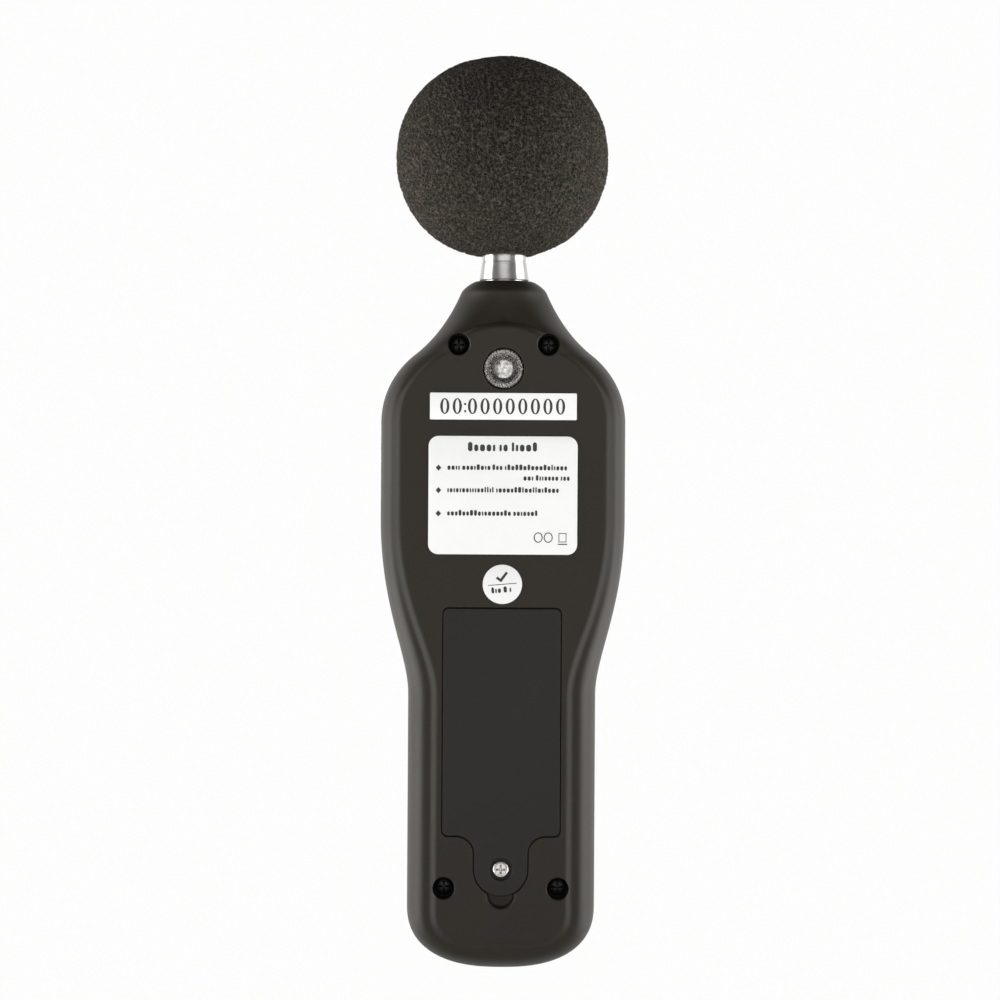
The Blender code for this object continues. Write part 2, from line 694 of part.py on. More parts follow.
def rear_shell():
    """The back half of the case, with the battery tray moulded into it."""
    insert_boss = INSERT_RADIUS + GAP + INSERT_BOSS_WALL
    cover_boss = COVER_SCREW_RADIUS + COVER_SCREW_ROOM + COVER_BOSS_WALL
    place = (0, 0, COVER_SCREW_Z)
    inner = screw_bosses("rear", SCREW_WELL_RADIUS + SCREW_BOSS_WALL)
    inner += [
        cylinder("insert_boss", insert_boss, -INSERT_LENGTH - GAP - INSERT_BOSS_WALL, OVERSHOOT, along="+Y"),
        cylinder("cover_boss", cover_boss, -COVER_BOSS_LENGTH, OVERSHOOT, place, "+Y"),
        plate("ledge", cover_outline(LEDGE_WIDTH), LEDGE_Y - LEDGE_THICKNESS, OVERSHOOT),
    ]
    shell = case_half("rear_shell", 1, inner)
    tray_half = POCKET_HALF + TRAY_WALL
    tray = box(
        "tray",
        (-tray_half, TRAY_FLOOR_Y - TRAY_WALL, POCKET_LOW_Z - TRAY_WALL),
        (tray_half, LEDGE_Y - LEDGE_THICKNESS / 2, POCKET_HIGH_Z + TRAY_WALL),
    )
    combine(shell, "UNION", [tray])
    screw_radius = COVER_SCREW_RADIUS + COVER_SCREW_ROOM
    screw_end = -COVER_THICKNESS - COVER_SCREW_GRIP - SCREW_END_ROOM
    pocket_low = (-POCKET_HALF, TRAY_FLOOR_Y, POCKET_LOW_Z)
    slot_half, slot_depth = LEAD_SLOT
    slot_top = POCKET_HIGH_Z + TRAY_WALL + OVERSHOOT
    holes = [
        plate("cover_opening", cover_outline(COVER_LINE), LEDGE_Y, 2 * OVERSHOOT),
        box("pocket", pocket_low, (POCKET_HALF, OVERSHOOT, POCKET_HIGH_Z)),
        cylinder("insert_hole", INSERT_RADIUS + GAP, -INSERT_LENGTH - GAP, 2 * OVERSHOOT, along="+Y"),
        cylinder("cover_screw_hole", screw_radius, screw_end, OVERSHOOT, place, "+Y", 16),
        neck_hole("rear_neck_hole"),
        box("lead_slot", (LEAD_X - slot_half, BATTERY_MID_Y - slot_depth, POCKET_HIGH_Z - OVERSHOOT),
            (LEAD_X + slot_half, BATTERY_MID_Y + slot_depth, slot_top)),
    ]
    for side in (-1, 1):
        holes += [tab_box(f"tab_slot_{side}", side, TAB_ROOM), foot_slot(side)]
    for i, (x, z) in enumerate(SCREW_PLACES):
        well = cylinder(f"well_{i}", SCREW_WELL_RADIUS, SCREW_SEAT_Y, 2 * OVERSHOOT, (x, 0, z), "+Y")
        shaft_low = SEAM_Y - 2 * OVERSHOOT
        radius = SCREW_SHAFT_RADIUS + GAP
        holes += [well, cylinder(f"shaft_{i}", radius, shaft_low, OVERSHOOT, (x, 0, z), "+Y", 12)]
    notch_z = COVER_SCREW_Z - TONGUE_HALF - NOTCH_REACH + NOTCH_HALF
    notch_top = COVER_SCREW_Z - TONGUE_HALF / 2
    notch = arc(0, notch_z, NOTCH_HALF, 2, 4, 10)
    notch += [(NOTCH_HALF, notch_top), (-NOTCH_HALF, notch_top)]
    holes.append(plate("finger_notch", notch, -NOTCH_DEPTH, OVERSHOOT))
    combine(shell, "DIFFERENCE", holes)
    return finish(shell, *BLACK_CASE)


def neck_hole(name):
    """The hole in the case's nose that the microphone's neck passes through."""
    radius = NECK_STEM_RADIUS + GAP
    low, high = CASE_TOP_Z - WALL - OVERSHOOT, CASE_TOP_Z + OVERSHOOT
    return cylinder(name, radius, low, high, (0, SEAM_Y, 0))


def tripod_insert():
    """The blind threaded insert, here with a plain bore of the thread's outer size."""
    slope = INSERT_MOUTH_RADIUS - INSERT_BORE_RADIUS
    floor = INSERT_FLOOR - INSERT_LENGTH
    profile = [
        (0, floor),
        (INSERT_BORE_RADIUS, floor),
        (INSERT_BORE_RADIUS, -slope),
        (INSERT_MOUTH_RADIUS, 0),
        (INSERT_RADIUS, 0),
        (INSERT_RADIUS, -INSERT_LENGTH),
        (0, -INSERT_LENGTH),
    ]
    return finish(turned("tripod_insert", profile, along="+Y", sides=32), *NICKEL)


def case_screws():
    """Four pan-head screws that hold the two shells together."""
    tip = SEAM_Y - SCREW_GRIP
    profile = [
        (0, SCREW_HEAD_HEIGHT),
        (SCREW_HEAD_RADIUS * 0.7, SCREW_HEAD_HEIGHT * 0.9),
        (SCREW_HEAD_RADIUS, SCREW_HEAD_HEIGHT * 0.4),
        (SCREW_HEAD_RADIUS, 0),
        (SCREW_SHAFT_RADIUS, 0),
        (SCREW_SHAFT_RADIUS, tip - SCREW_SEAT_Y),
        (0, tip - SCREW_SEAT_Y),
    ]
    for i, (x, z) in enumerate(SCREW_PLACES, start=1):
        place = (x, SCREW_SEAT_Y + GAP, z)
        finish(turned(f"case_screw_{i}", profile, place, "+Y", 16), *BLACK_STEEL)


def battery_cover():
    """The battery cover, with its origin on the edge that it tips about."""
    cover = plate("battery_cover", cover_outline(), -COVER_THICKNESS, 0, COVER_EDGE)
    tabs = [tab_foot(side) for side in (-1, 1)] + [tab_box(f"tab_{side}", side, 0) for side in (-1, 1)]
    combine(cover, "UNION", tabs)
    place = (0, 0, COVER_SCREW_Z)
    holes = [
        cylinder("recess", COVER_RECESS_RADIUS, -COVER_RECESS_DEPTH, OVERSHOOT, place, "+Y"),
        cylinder("through", COVER_SCREW_RADIUS + GAP, -COVER_BOSS_LENGTH, OVERSHOOT, place, "+Y", 16),
    ]
    combine(cover, "DIFFERENCE", holes)
    return finish(cover, *BLACK_CASE)


def tab_foot(side):
    """The web that joins a tab to the underside of the cover."""
    x, low = side * TAB_X, -WALL - GAP - TAB_THICKNESS
    return box(
        f"tab_foot_{side}",
        (x - TAB_HALF, low, COVER_HIGH_Z - TAB_ROOT),
        (x + TAB_HALF, -COVER_THICKNESS / 2, COVER_HIGH_Z - COVER_EDGE),
    )


def cover_pad():
    """The foam pad under the cover that presses on the battery."""
    outline = rounded_rectangle(PAD_HALF, -PAD_LENGTH / 2, PAD_LENGTH / 2, PAD_CORNER, 2)
    middle = (BATTERY_LOW_Z + BATTERY_HIGH_Z) / 2
    high = -COVER_THICKNESS - STICKER_GAP
    pad = plate("battery_cover_pad", moved(outline, 0, middle), high - PAD_THICKNESS, high)
    return finish(pad, (0.06, 0.06, 0.06), 0.95)


def cover_screw():
    """The short machine screw that holds the cover's tongue."""
    seat = -COVER_RECESS_DEPTH + GAP
    tip = -COVER_THICKNESS - COVER_SCREW_GRIP
    head = COVER_SCREW_HEAD_HEIGHT
    profile = [
        (0, seat + head),
        (COVER_SCREW_HEAD_RADIUS * 0.7, seat + head * 0.85),
        (COVER_SCREW_HEAD_RADIUS, seat + head * 0.35),
        (COVER_SCREW_HEAD_RADIUS, seat),
        (COVER_SCREW_RADIUS, seat),
        (COVER_SCREW_RADIUS, tip),
        (0, tip),
    ]
    return finish(turned("cover_screw", profile, (0, 0, COVER_SCREW_Z), "+Y", 20), *STEEL)


def labels():
    """Two printed labels and a round sticker on the back panel."""
    for name, (width, height, z, corner) in (
        ("serial_label", SERIAL_LABEL),
        ("rating_label", RATING_LABEL),
    ):
        outline = rounded_rectangle(width / 2, z - height / 2, z + height / 2, corner)
        high = STICKER_GAP + LABEL_THICKNESS
        finish(plate(name, outline, STICKER_GAP, high), *LABEL_WHITE)
    sticker = moved(arc(0, 0, STICKER_RADIUS, 0, 4, 32)[:-1], 0, STICKER_Z)
    high = STICKER_GAP + LABEL_THICKNESS
    finish(plate("inspection_sticker", sticker, STICKER_GAP, high), *LABEL_WHITE)


# Battery and its leads.


def battery():
    """A block battery lying in the tray, its terminals towards the head, and its snap."""
    half = BATTERY_WIDTH / 2
    outline = rounded_rectangle(half, BATTERY_LOW_Y, BATTERY_TOP_Y, BATTERY_EDGE, 3)
    block = plate("battery", outline, 0, BATTERY_LENGTH, BATTERY_END_EDGE)
    block.matrix_world = Matrix.Translation((0, 0, BATTERY_LOW_Z)) @ Matrix.Rotation(pi, 4, "Z") @ (
        TURNS["-Y"] @ block.matrix_world
    )
    finish(block, (0.05, 0.08, 0.20), 0.35)
    low, high = BATTERY_HIGH_Z + STICKER_GAP, BATTERY_HIGH_Z + TERMINAL_HEIGHT
    for side, (name, radius) in zip((1, -1), TERMINAL_RADII.items()):
        place = (side * TERMINAL_SPACING / 2, BATTERY_MID_Y, 0)
        stud = cylinder(f"battery_{name}_terminal", radius, low, high, place, sides=16)
        finish(stud, *STEEL)
    low = BATTERY_HIGH_Z + TERMINAL_HEIGHT + GAP
    half -= SNAP_INSET
    snap = box(
        "battery_snap",
        (-half, BATTERY_MID_Y - SNAP_HALF_DEPTH, low),
        (half, BATTERY_MID_Y + SNAP_HALF_DEPTH, low + SNAP_THICKNESS),
    )
    bevel = snap.modifiers.new("Bevel", "BEVEL")
    bevel.width = SNAP_BEVEL
    bevel.segments = 2
    finish(snap, *BLACK_SATIN)


def leads():
    """The battery leads, and the lead from the microphone to the main board."""
    snap_z = BATTERY_HIGH_Z + TERMINAL_HEIGHT + GAP + SNAP_THICKNESS + GAP
    x, z, _, height, thickness = CHIPS["lead_connector"]
    end_y = BOARD_BACK_Y + GAP + thickness / 2
    end_z = z - height / 2 - GAP
    turn_z = POCKET_HIGH_Z + TRAY_WALL
    for name, side, colour in (("red", 1, (0.45, 0.02, 0.02)), ("black", -1, (0.02, 0.02, 0.02))):
        y, shift = BATTERY_MID_Y + side * 3 * LEAD_RADIUS, -side * 2 * LEAD_RADIUS
        route = [
            (LEAD_X - 0.0020, y, snap_z),
            (LEAD_X - 0.0013, y, snap_z + 0.0009),
            (LEAD_X + shift / 4, y, turn_z - 0.0008),
            (LEAD_X + shift * 3 / 4, y, turn_z + 0.0018),
            (LEAD_X + shift, mix(y, end_y, 0.35), turn_z + 0.0036),
            (x + shift, mix(y, end_y, 0.85), end_z - 0.0030),
            (x + shift, end_y, end_z),
        ]
        finish(wire(f"battery_lead_{name}", route, LEAD_RADIUS), colour, 0.5)
    top_z = CASE_TOP_Z - WALL - GAP - NECK_FLANGE_THICKNESS - GAP
    rest_y = BOARD_BACK_Y + GAP + MICROPHONE_LEAD_RADIUS
    route = [
        (0, SEAM_Y, top_z),
        (0, SEAM_Y - 0.0004, top_z - 0.0040),
        (0.0010, SEAM_Y - 0.0020, top_z - 0.0090),
        (0, rest_y + 0.0018, BOARD_TOP_Z + 0.0010),
        (0, rest_y + 0.0002, BOARD_TOP_Z - 0.0020),
        (0, rest_y, BOARD_TOP_Z - 0.0040),
    ]
    finish(wire("microphone_lead", route, MICROPHONE_LEAD_RADIUS), (0.10, 0.10, 0.10), 0.6)


# Microphone.


def microphone():
    """The neck, tube, capsule and grid, all turned about the case's middle."""
    axis = (0, SEAM_Y, 0)
    inner_z = CASE_TOP_Z - WALL - GAP
    neck = [
        (NECK_TOP_RADIUS, NECK_TOP_Z),
        (NECK_BASE_RADIUS, NECK_BASE_Z),
        (NECK_STEM_RADIUS, NECK_BASE_Z),
        (NECK_STEM_RADIUS, inner_z),
        (NECK_FLANGE_RADIUS, inner_z),
        (NECK_FLANGE_RADIUS, inner_z - NECK_FLANGE_THICKNESS),
        (NECK_BORE_RADIUS, inner_z - NECK_FLANGE_THICKNESS),
        (NECK_BORE_RADIUS, NECK_TOP_Z),
    ]
    finish(turned("microphone_neck", neck, axis, sides=32), *STEEL)
    tube_top = MIC_BASE_Z + MIC_TUBE_LENGTH
    tube = [
        (MIC_RADIUS, tube_top),
        (MIC_RADIUS, MIC_BASE_Z),
        (MIC_BORE_RADIUS, MIC_BASE_Z),
        (MIC_BORE_RADIUS, tube_top),
    ]
    finish(turned("microphone_tube", tube, axis, sides=28), *STEEL)
    top = CAPSULE_BASE_Z + CAPSULE_LENGTH
    capsule = cylinder("microphone_capsule", MIC_RADIUS, CAPSULE_BASE_Z, top, axis, sides=28)
    finish(capsule, *NICKEL)
    inner = MIC_RADIUS - GRID_WALL
    grid = [
        (0, MIC_TIP_Z),
        (inner, MIC_TIP_Z),
        (MIC_RADIUS, MIC_TIP_Z - GRID_WALL),
        (MIC_RADIUS, GRID_BASE_Z),
        (inner, GRID_BASE_Z),
        (inner, MIC_TIP_Z - GRID_TOP),
        (0, MIC_TIP_Z - GRID_TOP),
    ]
    finish(turned("microphone_grid", grid, axis, sides=28), *NICKEL)


def windscreen():
    """The foam ball, slightly flattened, with a blind bore for the microphone."""
    angles = np.linspace(0, pi, 25)
    radii = WINDSCREEN_RADIUS * np.sin(angles)
    heights = WINDSCREEN_Z + WINDSCREEN_HALF_HEIGHT * np.cos(angles)
    mouth = WINDSCREEN_BORE_RADIUS + WINDSCREEN_MOUTH
    ball = [(0.0, float(heights[0]))]
    ball += [(float(r), float(h)) for r, h in zip(radii[1:], heights[1:]) if r > mouth or h > WINDSCREEN_Z]
    share = mouth / WINDSCREEN_RADIUS
    rim = WINDSCREEN_Z - WINDSCREEN_HALF_HEIGHT * (1 - share**2) ** 0.5
    bore_top = MIC_TIP_Z + GAP
    ball += [(mouth, rim), (WINDSCREEN_BORE_RADIUS, rim + 2 * WINDSCREEN_MOUTH)]
    ball += [(WINDSCREEN_BORE_RADIUS, bore_top), (0, bore_top)]
    return finish(turned("windscreen", ball, (0, SEAM_Y, 0), sides=32), *FOAM)


# Front shell and what is fixed to it.


def key_places():
    """(name, x, z) of each key."""
    places = []
    for i, name in enumerate(KEY_NAMES):
        side = 1 if i % 2 == 0 else -1
        places.append((name, side * KEY_COLUMN_X, KEY_FIRST_Z - KEY_PITCH_Z * (i // 2)))
    return places


def key_outline(x, z, grow):
    """A round-ended slot shape about a key's middle, larger than the key by grow."""
    radius = KEY_WIDTH / 2 + grow
    offset = (KEY_LENGTH - KEY_WIDTH) / 2
    return arc(x + offset, z, radius, -1, 1, 8) + arc(x - offset, z, radius, 1, 3, 8)


def front_shell():
    """The front half of the case, with its display window frame, key holes and posts."""
    radius = SCREW_SHAFT_RADIUS + GAP + SCREW_BOSS_WALL
    inner = screw_bosses("front", radius)
    for x, z in board_screw_places():
        name = f"standoff_{len(inner)}"
        low, high = FRONT_Y - OVERSHOOT, BOARD_FRONT_Y - GAP
        inner.append(cylinder(name, STANDOFF_RADIUS, low, high, (x, 0, z), "+Y", 16))
    shell = case_half("front_shell", -1, inner)
    low, high = WINDOW_Z - WINDOW_HEIGHT / 2, WINDOW_Z + WINDOW_HEIGHT / 2
    frame = rounded_rectangle(WINDOW_WIDTH / 2 + GAP, low - GAP, high + GAP, WINDOW_CORNER)
    view = rounded_rectangle(
        WINDOW_WIDTH / 2 - WINDOW_LEDGE, low + WINDOW_LEDGE, high - WINDOW_LEDGE, WINDOW_CORNER / 2, 2
    )
    holes = [
        plate("window_seat", frame, FRONT_Y - OVERSHOOT, FRONT_Y + WINDOW_THICKNESS + GAP),
        plate("window_view", view, FRONT_Y, FRONT_Y + WALL + OVERSHOOT),
        neck_hole("front_neck_hole"),
    ]
    for name, x, z in key_places():
        outline = key_outline(x, z, GAP)
        holes.append(plate(f"{name}_hole", outline, FRONT_Y - OVERSHOOT, FRONT_Y + WALL + OVERSHOOT))
    for i, (x, z) in enumerate(SCREW_PLACES):
        low = SEAM_Y - SCREW_GRIP - OVERSHOOT
        radius = SCREW_SHAFT_RADIUS + GAP
        holes.append(cylinder(f"pilot_{i}", radius, low, SEAM_Y + 2 * OVERSHOOT, (x, 0, z), "+Y", 12))
    for i, (x, z) in enumerate(board_screw_places()):
        radius = BOARD_SCREW_RADIUS + GAP
        low = BOARD_BACK_Y - BOARD_SCREW_LENGTH
        holes.append(cylinder(f"pin_{i}", radius, low, BOARD_BACK_Y, (x, 0, z), "+Y", 10))
    side_low, side_high = HEAD_HALF - SIDE_HOLE_REACH, HEAD_HALF + 2 * OVERSHOOT
    for name, z in SOCKET_ZS.items():
        radius = SOCKET_SLEEVE_RADIUS + GAP
        place = (0, SOCKET_AXIS_Y, z)
        holes.append(cylinder(f"{name}_hole", radius, side_low, side_high, place, "+X"))
    place = (0, SOCKET_AXIS_Y, TRIMMER_Z)
    holes.append(cylinder("trimmer_hole", TRIMMER_HOLE_RADIUS, side_low, side_high, place, "-X", 16))
    combine(shell, "DIFFERENCE", holes)
    return finish(shell, *BLACK_CASE)


def display():
    """The window, the liquid-crystal panel in its frame, its backlight and its contact strip."""
    half, height = WINDOW_WIDTH / 2, WINDOW_HEIGHT / 2
    outline = rounded_rectangle(half, WINDOW_Z - height, WINDOW_Z + height, WINDOW_CORNER - GAP)
    window = plate("display_window", outline, FRONT_Y, FRONT_Y + WINDOW_THICKNESS)
    finish(window, (0.05, 0.06, 0.06), 0.08)
    half, height = half - WINDOW_LEDGE + LCD_MARGIN, height - WINDOW_LEDGE + LCD_MARGIN
    glass_y = FRONT_Y + WALL + GAP
    light_y = glass_y + LCD_THICKNESS + GAP
    back_y = light_y + BACKLIGHT_THICKNESS
    low, high = WINDOW_Z - height, WINDOW_Z + height
    finish(
        box("lcd_panel", (-half, glass_y, low), (half, glass_y + LCD_THICKNESS, high)),
        (0.42, 0.47, 0.38), 0.25,
    )
    finish(
        box("backlight_panel", (-half, light_y, low + STRIP_HEIGHT + GAP), (half, back_y, high)),
        (0.80, 0.82, 0.80), 0.40,
    )
    finish(
        box("contact_strip", (-half, light_y, low), (half, BOARD_FRONT_Y - GAP, low + STRIP_HEIGHT)),
        (0.55, 0.30, 0.35), 0.70,
    )
    grow = GAP + LCD_FRAME_WALL
    frame = box(
        "lcd_frame",
        (-half - grow, glass_y, low - grow),
        (half + grow, BOARD_FRONT_Y - GAP, high + grow),
    )
    inside = box(
        "lcd_space",
        (-half - GAP, glass_y - OVERSHOOT, low - GAP),
        (half + GAP, BOARD_FRONT_Y, high + GAP),
    )
    combine(frame, "DIFFERENCE", [inside])
    finish(frame, (0.55, 0.55, 0.53), 0.5)


def board_screw_places():
    """(x, z) of the four small screws that hold the main board."""
    return [(side * x, z) for x, z in BOARD_SCREWS for side in (1, -1)]


def main_board():
    """The main board, its screws and the parts soldered to its back."""
    right = [
        (BOARD_TOP_HALF, BOARD_TOP_Z),
        (BOARD_HEAD_HALF, BOARD_CHAMFER_Z),
        (BOARD_HEAD_HALF, BOARD_WAIST_Z),
        (BOARD_GRIP_HALF, BOARD_GRIP_Z),
        (BOARD_GRIP_HALF, BOARD_END_Z),
    ]
    outline = right + [(-x, z) for x, z in right[::-1]]
    board = plate("main_board", outline, BOARD_FRONT_Y, BOARD_BACK_Y)
    radius = BOARD_SCREW_RADIUS + GAP
    low, high = BOARD_FRONT_Y - OVERSHOOT, BOARD_BACK_Y + OVERSHOOT
    holes = [
        cylinder(f"board_hole_{i}", radius, low, high, (x, 0, z), "+Y", 10)
        for i, (x, z) in enumerate(board_screw_places())
    ]
    combine(board, "DIFFERENCE", holes)
    finish(board, *BOARD_GREEN)
    seat = BOARD_BACK_Y + STICKER_GAP
    profile = [
        (0, BOARD_SCREW_HEAD_HEIGHT),
        (BOARD_SCREW_HEAD_RADIUS, BOARD_SCREW_HEAD_HEIGHT * 0.6),
        (BOARD_SCREW_HEAD_RADIUS, 0),
        (BOARD_SCREW_RADIUS, 0),
        (BOARD_SCREW_RADIUS, GAP - BOARD_SCREW_LENGTH),
        (0, GAP - BOARD_SCREW_LENGTH),
    ]
    for i, (x, z) in enumerate(board_screw_places(), start=1):
        finish(turned(f"board_screw_{i}", profile, (x, seat, z), "+Y", 10), *STEEL)
    for name, (x, z, width, height, thickness) in CHIPS.items():
        low = (x - width / 2, BOARD_BACK_Y + GAP, z - height / 2)
        high = (x + width / 2, BOARD_BACK_Y + GAP + thickness, z + height / 2)
        finish(box(name, low, high), *(STEEL if name == "crystal" else CHIP_BLACK))


def keys():
    """The keys and the silicone mat under them."""
    inner_y = FRONT_Y + WALL + GAP
    for name, x, z in key_places():
        cap = plate(f"{name}_button", key_outline(x, z, 0), FRONT_Y - KEY_RISE, inner_y + GAP / 2, KEY_EDGE)
        flange = plate("flange", key_outline(x, z, KEY_FLANGE), inner_y, inner_y + KEY_FLANGE_THICKNESS)
        combine(cap, "UNION", [flange])
        finish(cap, *RUBBER_GREY)
    rows = (len(KEY_NAMES) - 1) // 2
    half = KEY_COLUMN_X + KEY_LENGTH / 2 + MAT_MARGIN
    reach = KEY_WIDTH / 2 + MAT_MARGIN
    outline = rounded_rectangle(
        half, KEY_FIRST_Z - KEY_PITCH_Z * rows - reach, KEY_FIRST_Z + reach, MAT_CORNER, 2
    )
    low = inner_y + KEY_FLANGE_THICKNESS + KEY_TRAVEL + GAP
    finish(plate("keypad_mat", outline, low, BOARD_FRONT_Y - GAP), (0.25, 0.25, 0.27), 0.8)


def sockets():
    """The output and power sockets on one side, and the calibration trimmer on the other."""
    length, depth, height = SOCKET_BODY
    mouth = HEAD_HALF - SOCKET_SINK
    body_end = HEAD_HALF - SOCKET_SETBACK
    for name, z in SOCKET_ZS.items():
        low = (body_end - length, SOCKET_AXIS_Y - depth / 2, z - height / 2)
        high = (body_end, SOCKET_AXIS_Y + depth / 2, z + height / 2)
        socket = box(name, low, high)
        place = (0, SOCKET_AXIS_Y, z)
        sleeve = cylinder("sleeve", SOCKET_SLEEVE_RADIUS, body_end - OVERSHOOT, mouth, place, "+X", 20)
        combine(socket, "UNION", [sleeve])
        floor = mouth - SOCKET_BORE_DEPTH
        bore = cylinder("bore", SOCKET_BORE_RADIUS, floor, mouth + OVERSHOOT, place, "+X", 16)
        combine(socket, "DIFFERENCE", [bore])
        finish(socket, *BLACK_SATIN)
    length, depth, height = TRIMMER_BODY
    face = HEAD_HALF - TRIMMER_SINK - TRIMMER_ROTOR_LENGTH
    body = box(
        "trimmer_body",
        (-face, SOCKET_AXIS_Y - depth / 2, TRIMMER_Z - height / 2),
        (-face + length, SOCKET_AXIS_Y + depth / 2, TRIMMER_Z + height / 2),
    )
    finish(body, (0.05, 0.12, 0.40), 0.40)
    place = (0, SOCKET_AXIS_Y, TRIMMER_Z)
    end = HEAD_HALF - TRIMMER_SINK
    rotor = cylinder("trimmer_rotor", TRIMMER_ROTOR_RADIUS, face + GAP, end, place, "-X", 20)
    slot_half, slot_depth = TRIMMER_SLOT[0] / 2, TRIMMER_SLOT[1]
    slot = box(
        "trimmer_slot",
        (-end - OVERSHOOT, SOCKET_AXIS_Y - slot_half, TRIMMER_Z - 2 * TRIMMER_ROTOR_RADIUS),
        (-end + slot_depth, SOCKET_AXIS_Y + slot_half, TRIMMER_Z + 2 * TRIMMER_ROTOR_RADIUS),
    )
    combine(rotor, "DIFFERENCE", [slot])
    finish(rotor, *NICKEL)


rear_shell()
front_shell()
tripod_insert()
case_screws()
battery_cover()
cover_pad()
cover_screw()
labels()
battery()
leads()
microphone()
windscreen()
display()
main_board()
keys()
sockets()
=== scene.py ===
import math

import bmesh
import bpy
import numpy as np
from mathutils import Matrix, Vector


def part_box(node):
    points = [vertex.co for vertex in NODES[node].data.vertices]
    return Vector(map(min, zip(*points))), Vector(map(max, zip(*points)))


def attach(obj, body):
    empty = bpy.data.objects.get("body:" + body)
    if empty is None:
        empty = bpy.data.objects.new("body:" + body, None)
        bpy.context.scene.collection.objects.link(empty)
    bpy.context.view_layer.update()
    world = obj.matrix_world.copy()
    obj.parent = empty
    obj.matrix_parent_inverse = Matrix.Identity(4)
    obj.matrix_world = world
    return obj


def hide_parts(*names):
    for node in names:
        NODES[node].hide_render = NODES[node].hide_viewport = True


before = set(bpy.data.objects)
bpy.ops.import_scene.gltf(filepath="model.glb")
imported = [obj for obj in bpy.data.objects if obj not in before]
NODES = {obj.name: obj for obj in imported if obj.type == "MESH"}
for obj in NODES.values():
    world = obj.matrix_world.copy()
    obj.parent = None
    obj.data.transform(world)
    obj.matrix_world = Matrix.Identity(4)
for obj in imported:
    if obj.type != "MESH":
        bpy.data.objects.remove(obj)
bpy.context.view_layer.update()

# The camera looks level at the back of the meter, a long arm's length away. It sits a hair
# to one side and leans a third of a degree, and its height is that of the meter's waist.
CAMERA_DISTANCE = 0.997
CAMERA_HEIGHT = -0.0368
CAMERA_ASIDE = 0.0008
CAMERA_LEAN = math.radians(0.34)
LENS = 126

rear_low, rear_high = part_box("rear_shell")
front_low, front_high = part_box("front_shell")
SEAM_Y = front_low.y / 2
camera_data = bpy.data.cameras.new("camera")
camera_data.lens = LENS
camera = bpy.data.objects.new("camera", camera_data)
camera.location = (CAMERA_ASIDE, SEAM_Y + CAMERA_DISTANCE, CAMERA_HEIGHT)
aim = Matrix.Rotation(math.pi, 4, "Z") @ Matrix.Rotation(math.pi / 2, 4, "X")
camera.rotation_euler = (aim @ Matrix.Rotation(CAMERA_LEAN, 4, "Z")).to_euler()
bpy.context.scene.collection.objects.link(camera)
bpy.context.scene.camera = camera


# The case: two halves moulded in near-black ABS with a fine spark-eroded grain. The back
# half has rolled shoulders and a raised flat panel, and holds the battery tray. Both are
# cut here from one form: rays run in from the outline, and a height stands on each.
HEAD_HALF = rear_high.x
GRIP_HALF = 0.0266
SHOULDER_HALF, SHOULDER_Z = 0.0256, 0.0040
NOSE_RADIUS, NOSE_FLAT, NOSE_BASE_Z = 0.0122, 0.0080, 0.0220
HEAD_TOP_Z, HEAD_END_Z, GRIP_TOP_Z = -0.0150, -0.0420, -0.0920
CASE_TOP_Z, CASE_BOTTOM_Z = rear_high.z, rear_low.z
BOTTOM_ROUND, BOTTOM_POWER = 0.0176, 2.4
GRIP_END_Z = CASE_BOTTOM_Z + BOTTOM_ROUND
HALF_DEPTH = -front_low.y / 2
WALL = 0.0022
REAR_SHOULDER = (0.0046, 0.0063)
PANEL_INSET = (0.0050, 0.0076)
PANEL_STEP, PANEL_STEP_WIDTH = 0.0013, 0.0030
PANEL_TOP_Z, PANEL_TOP_RADIUS = 0.0130, 0.0208
FRONT_SHOULDER = 0.0090
FRONT_POWER, REAR_POWER, NOSE_POWER = 2.2, 2.3, 1.3
NOSE_BLEND_Z = 0.0060
END_POINTS = 40
GAP = 0.0003


def smooth(value):
    """0 below 0, 1 above 1, and an S-curve 3v^2 - 2v^3 between."""
    value = np.clip(value, 0, 1)
    return value * value * (3 - 2 * value)


def mix(a, b, share):
    """a where share is 0 and b where it is 1."""
    return a + (b - a) * share


def bezier(controls, steps):
    """Points (x, z) on a cubic Bezier curve, evenly in its parameter, without the last."""
    t = np.linspace(0, 1, steps + 1)[:-1, None]
    a, b, c, d = np.array(controls)
    return (1 - t) ** 3 * a + 3 * (1 - t) ** 2 * t * b + 3 * (1 - t) * t**2 * c + t**3 * d


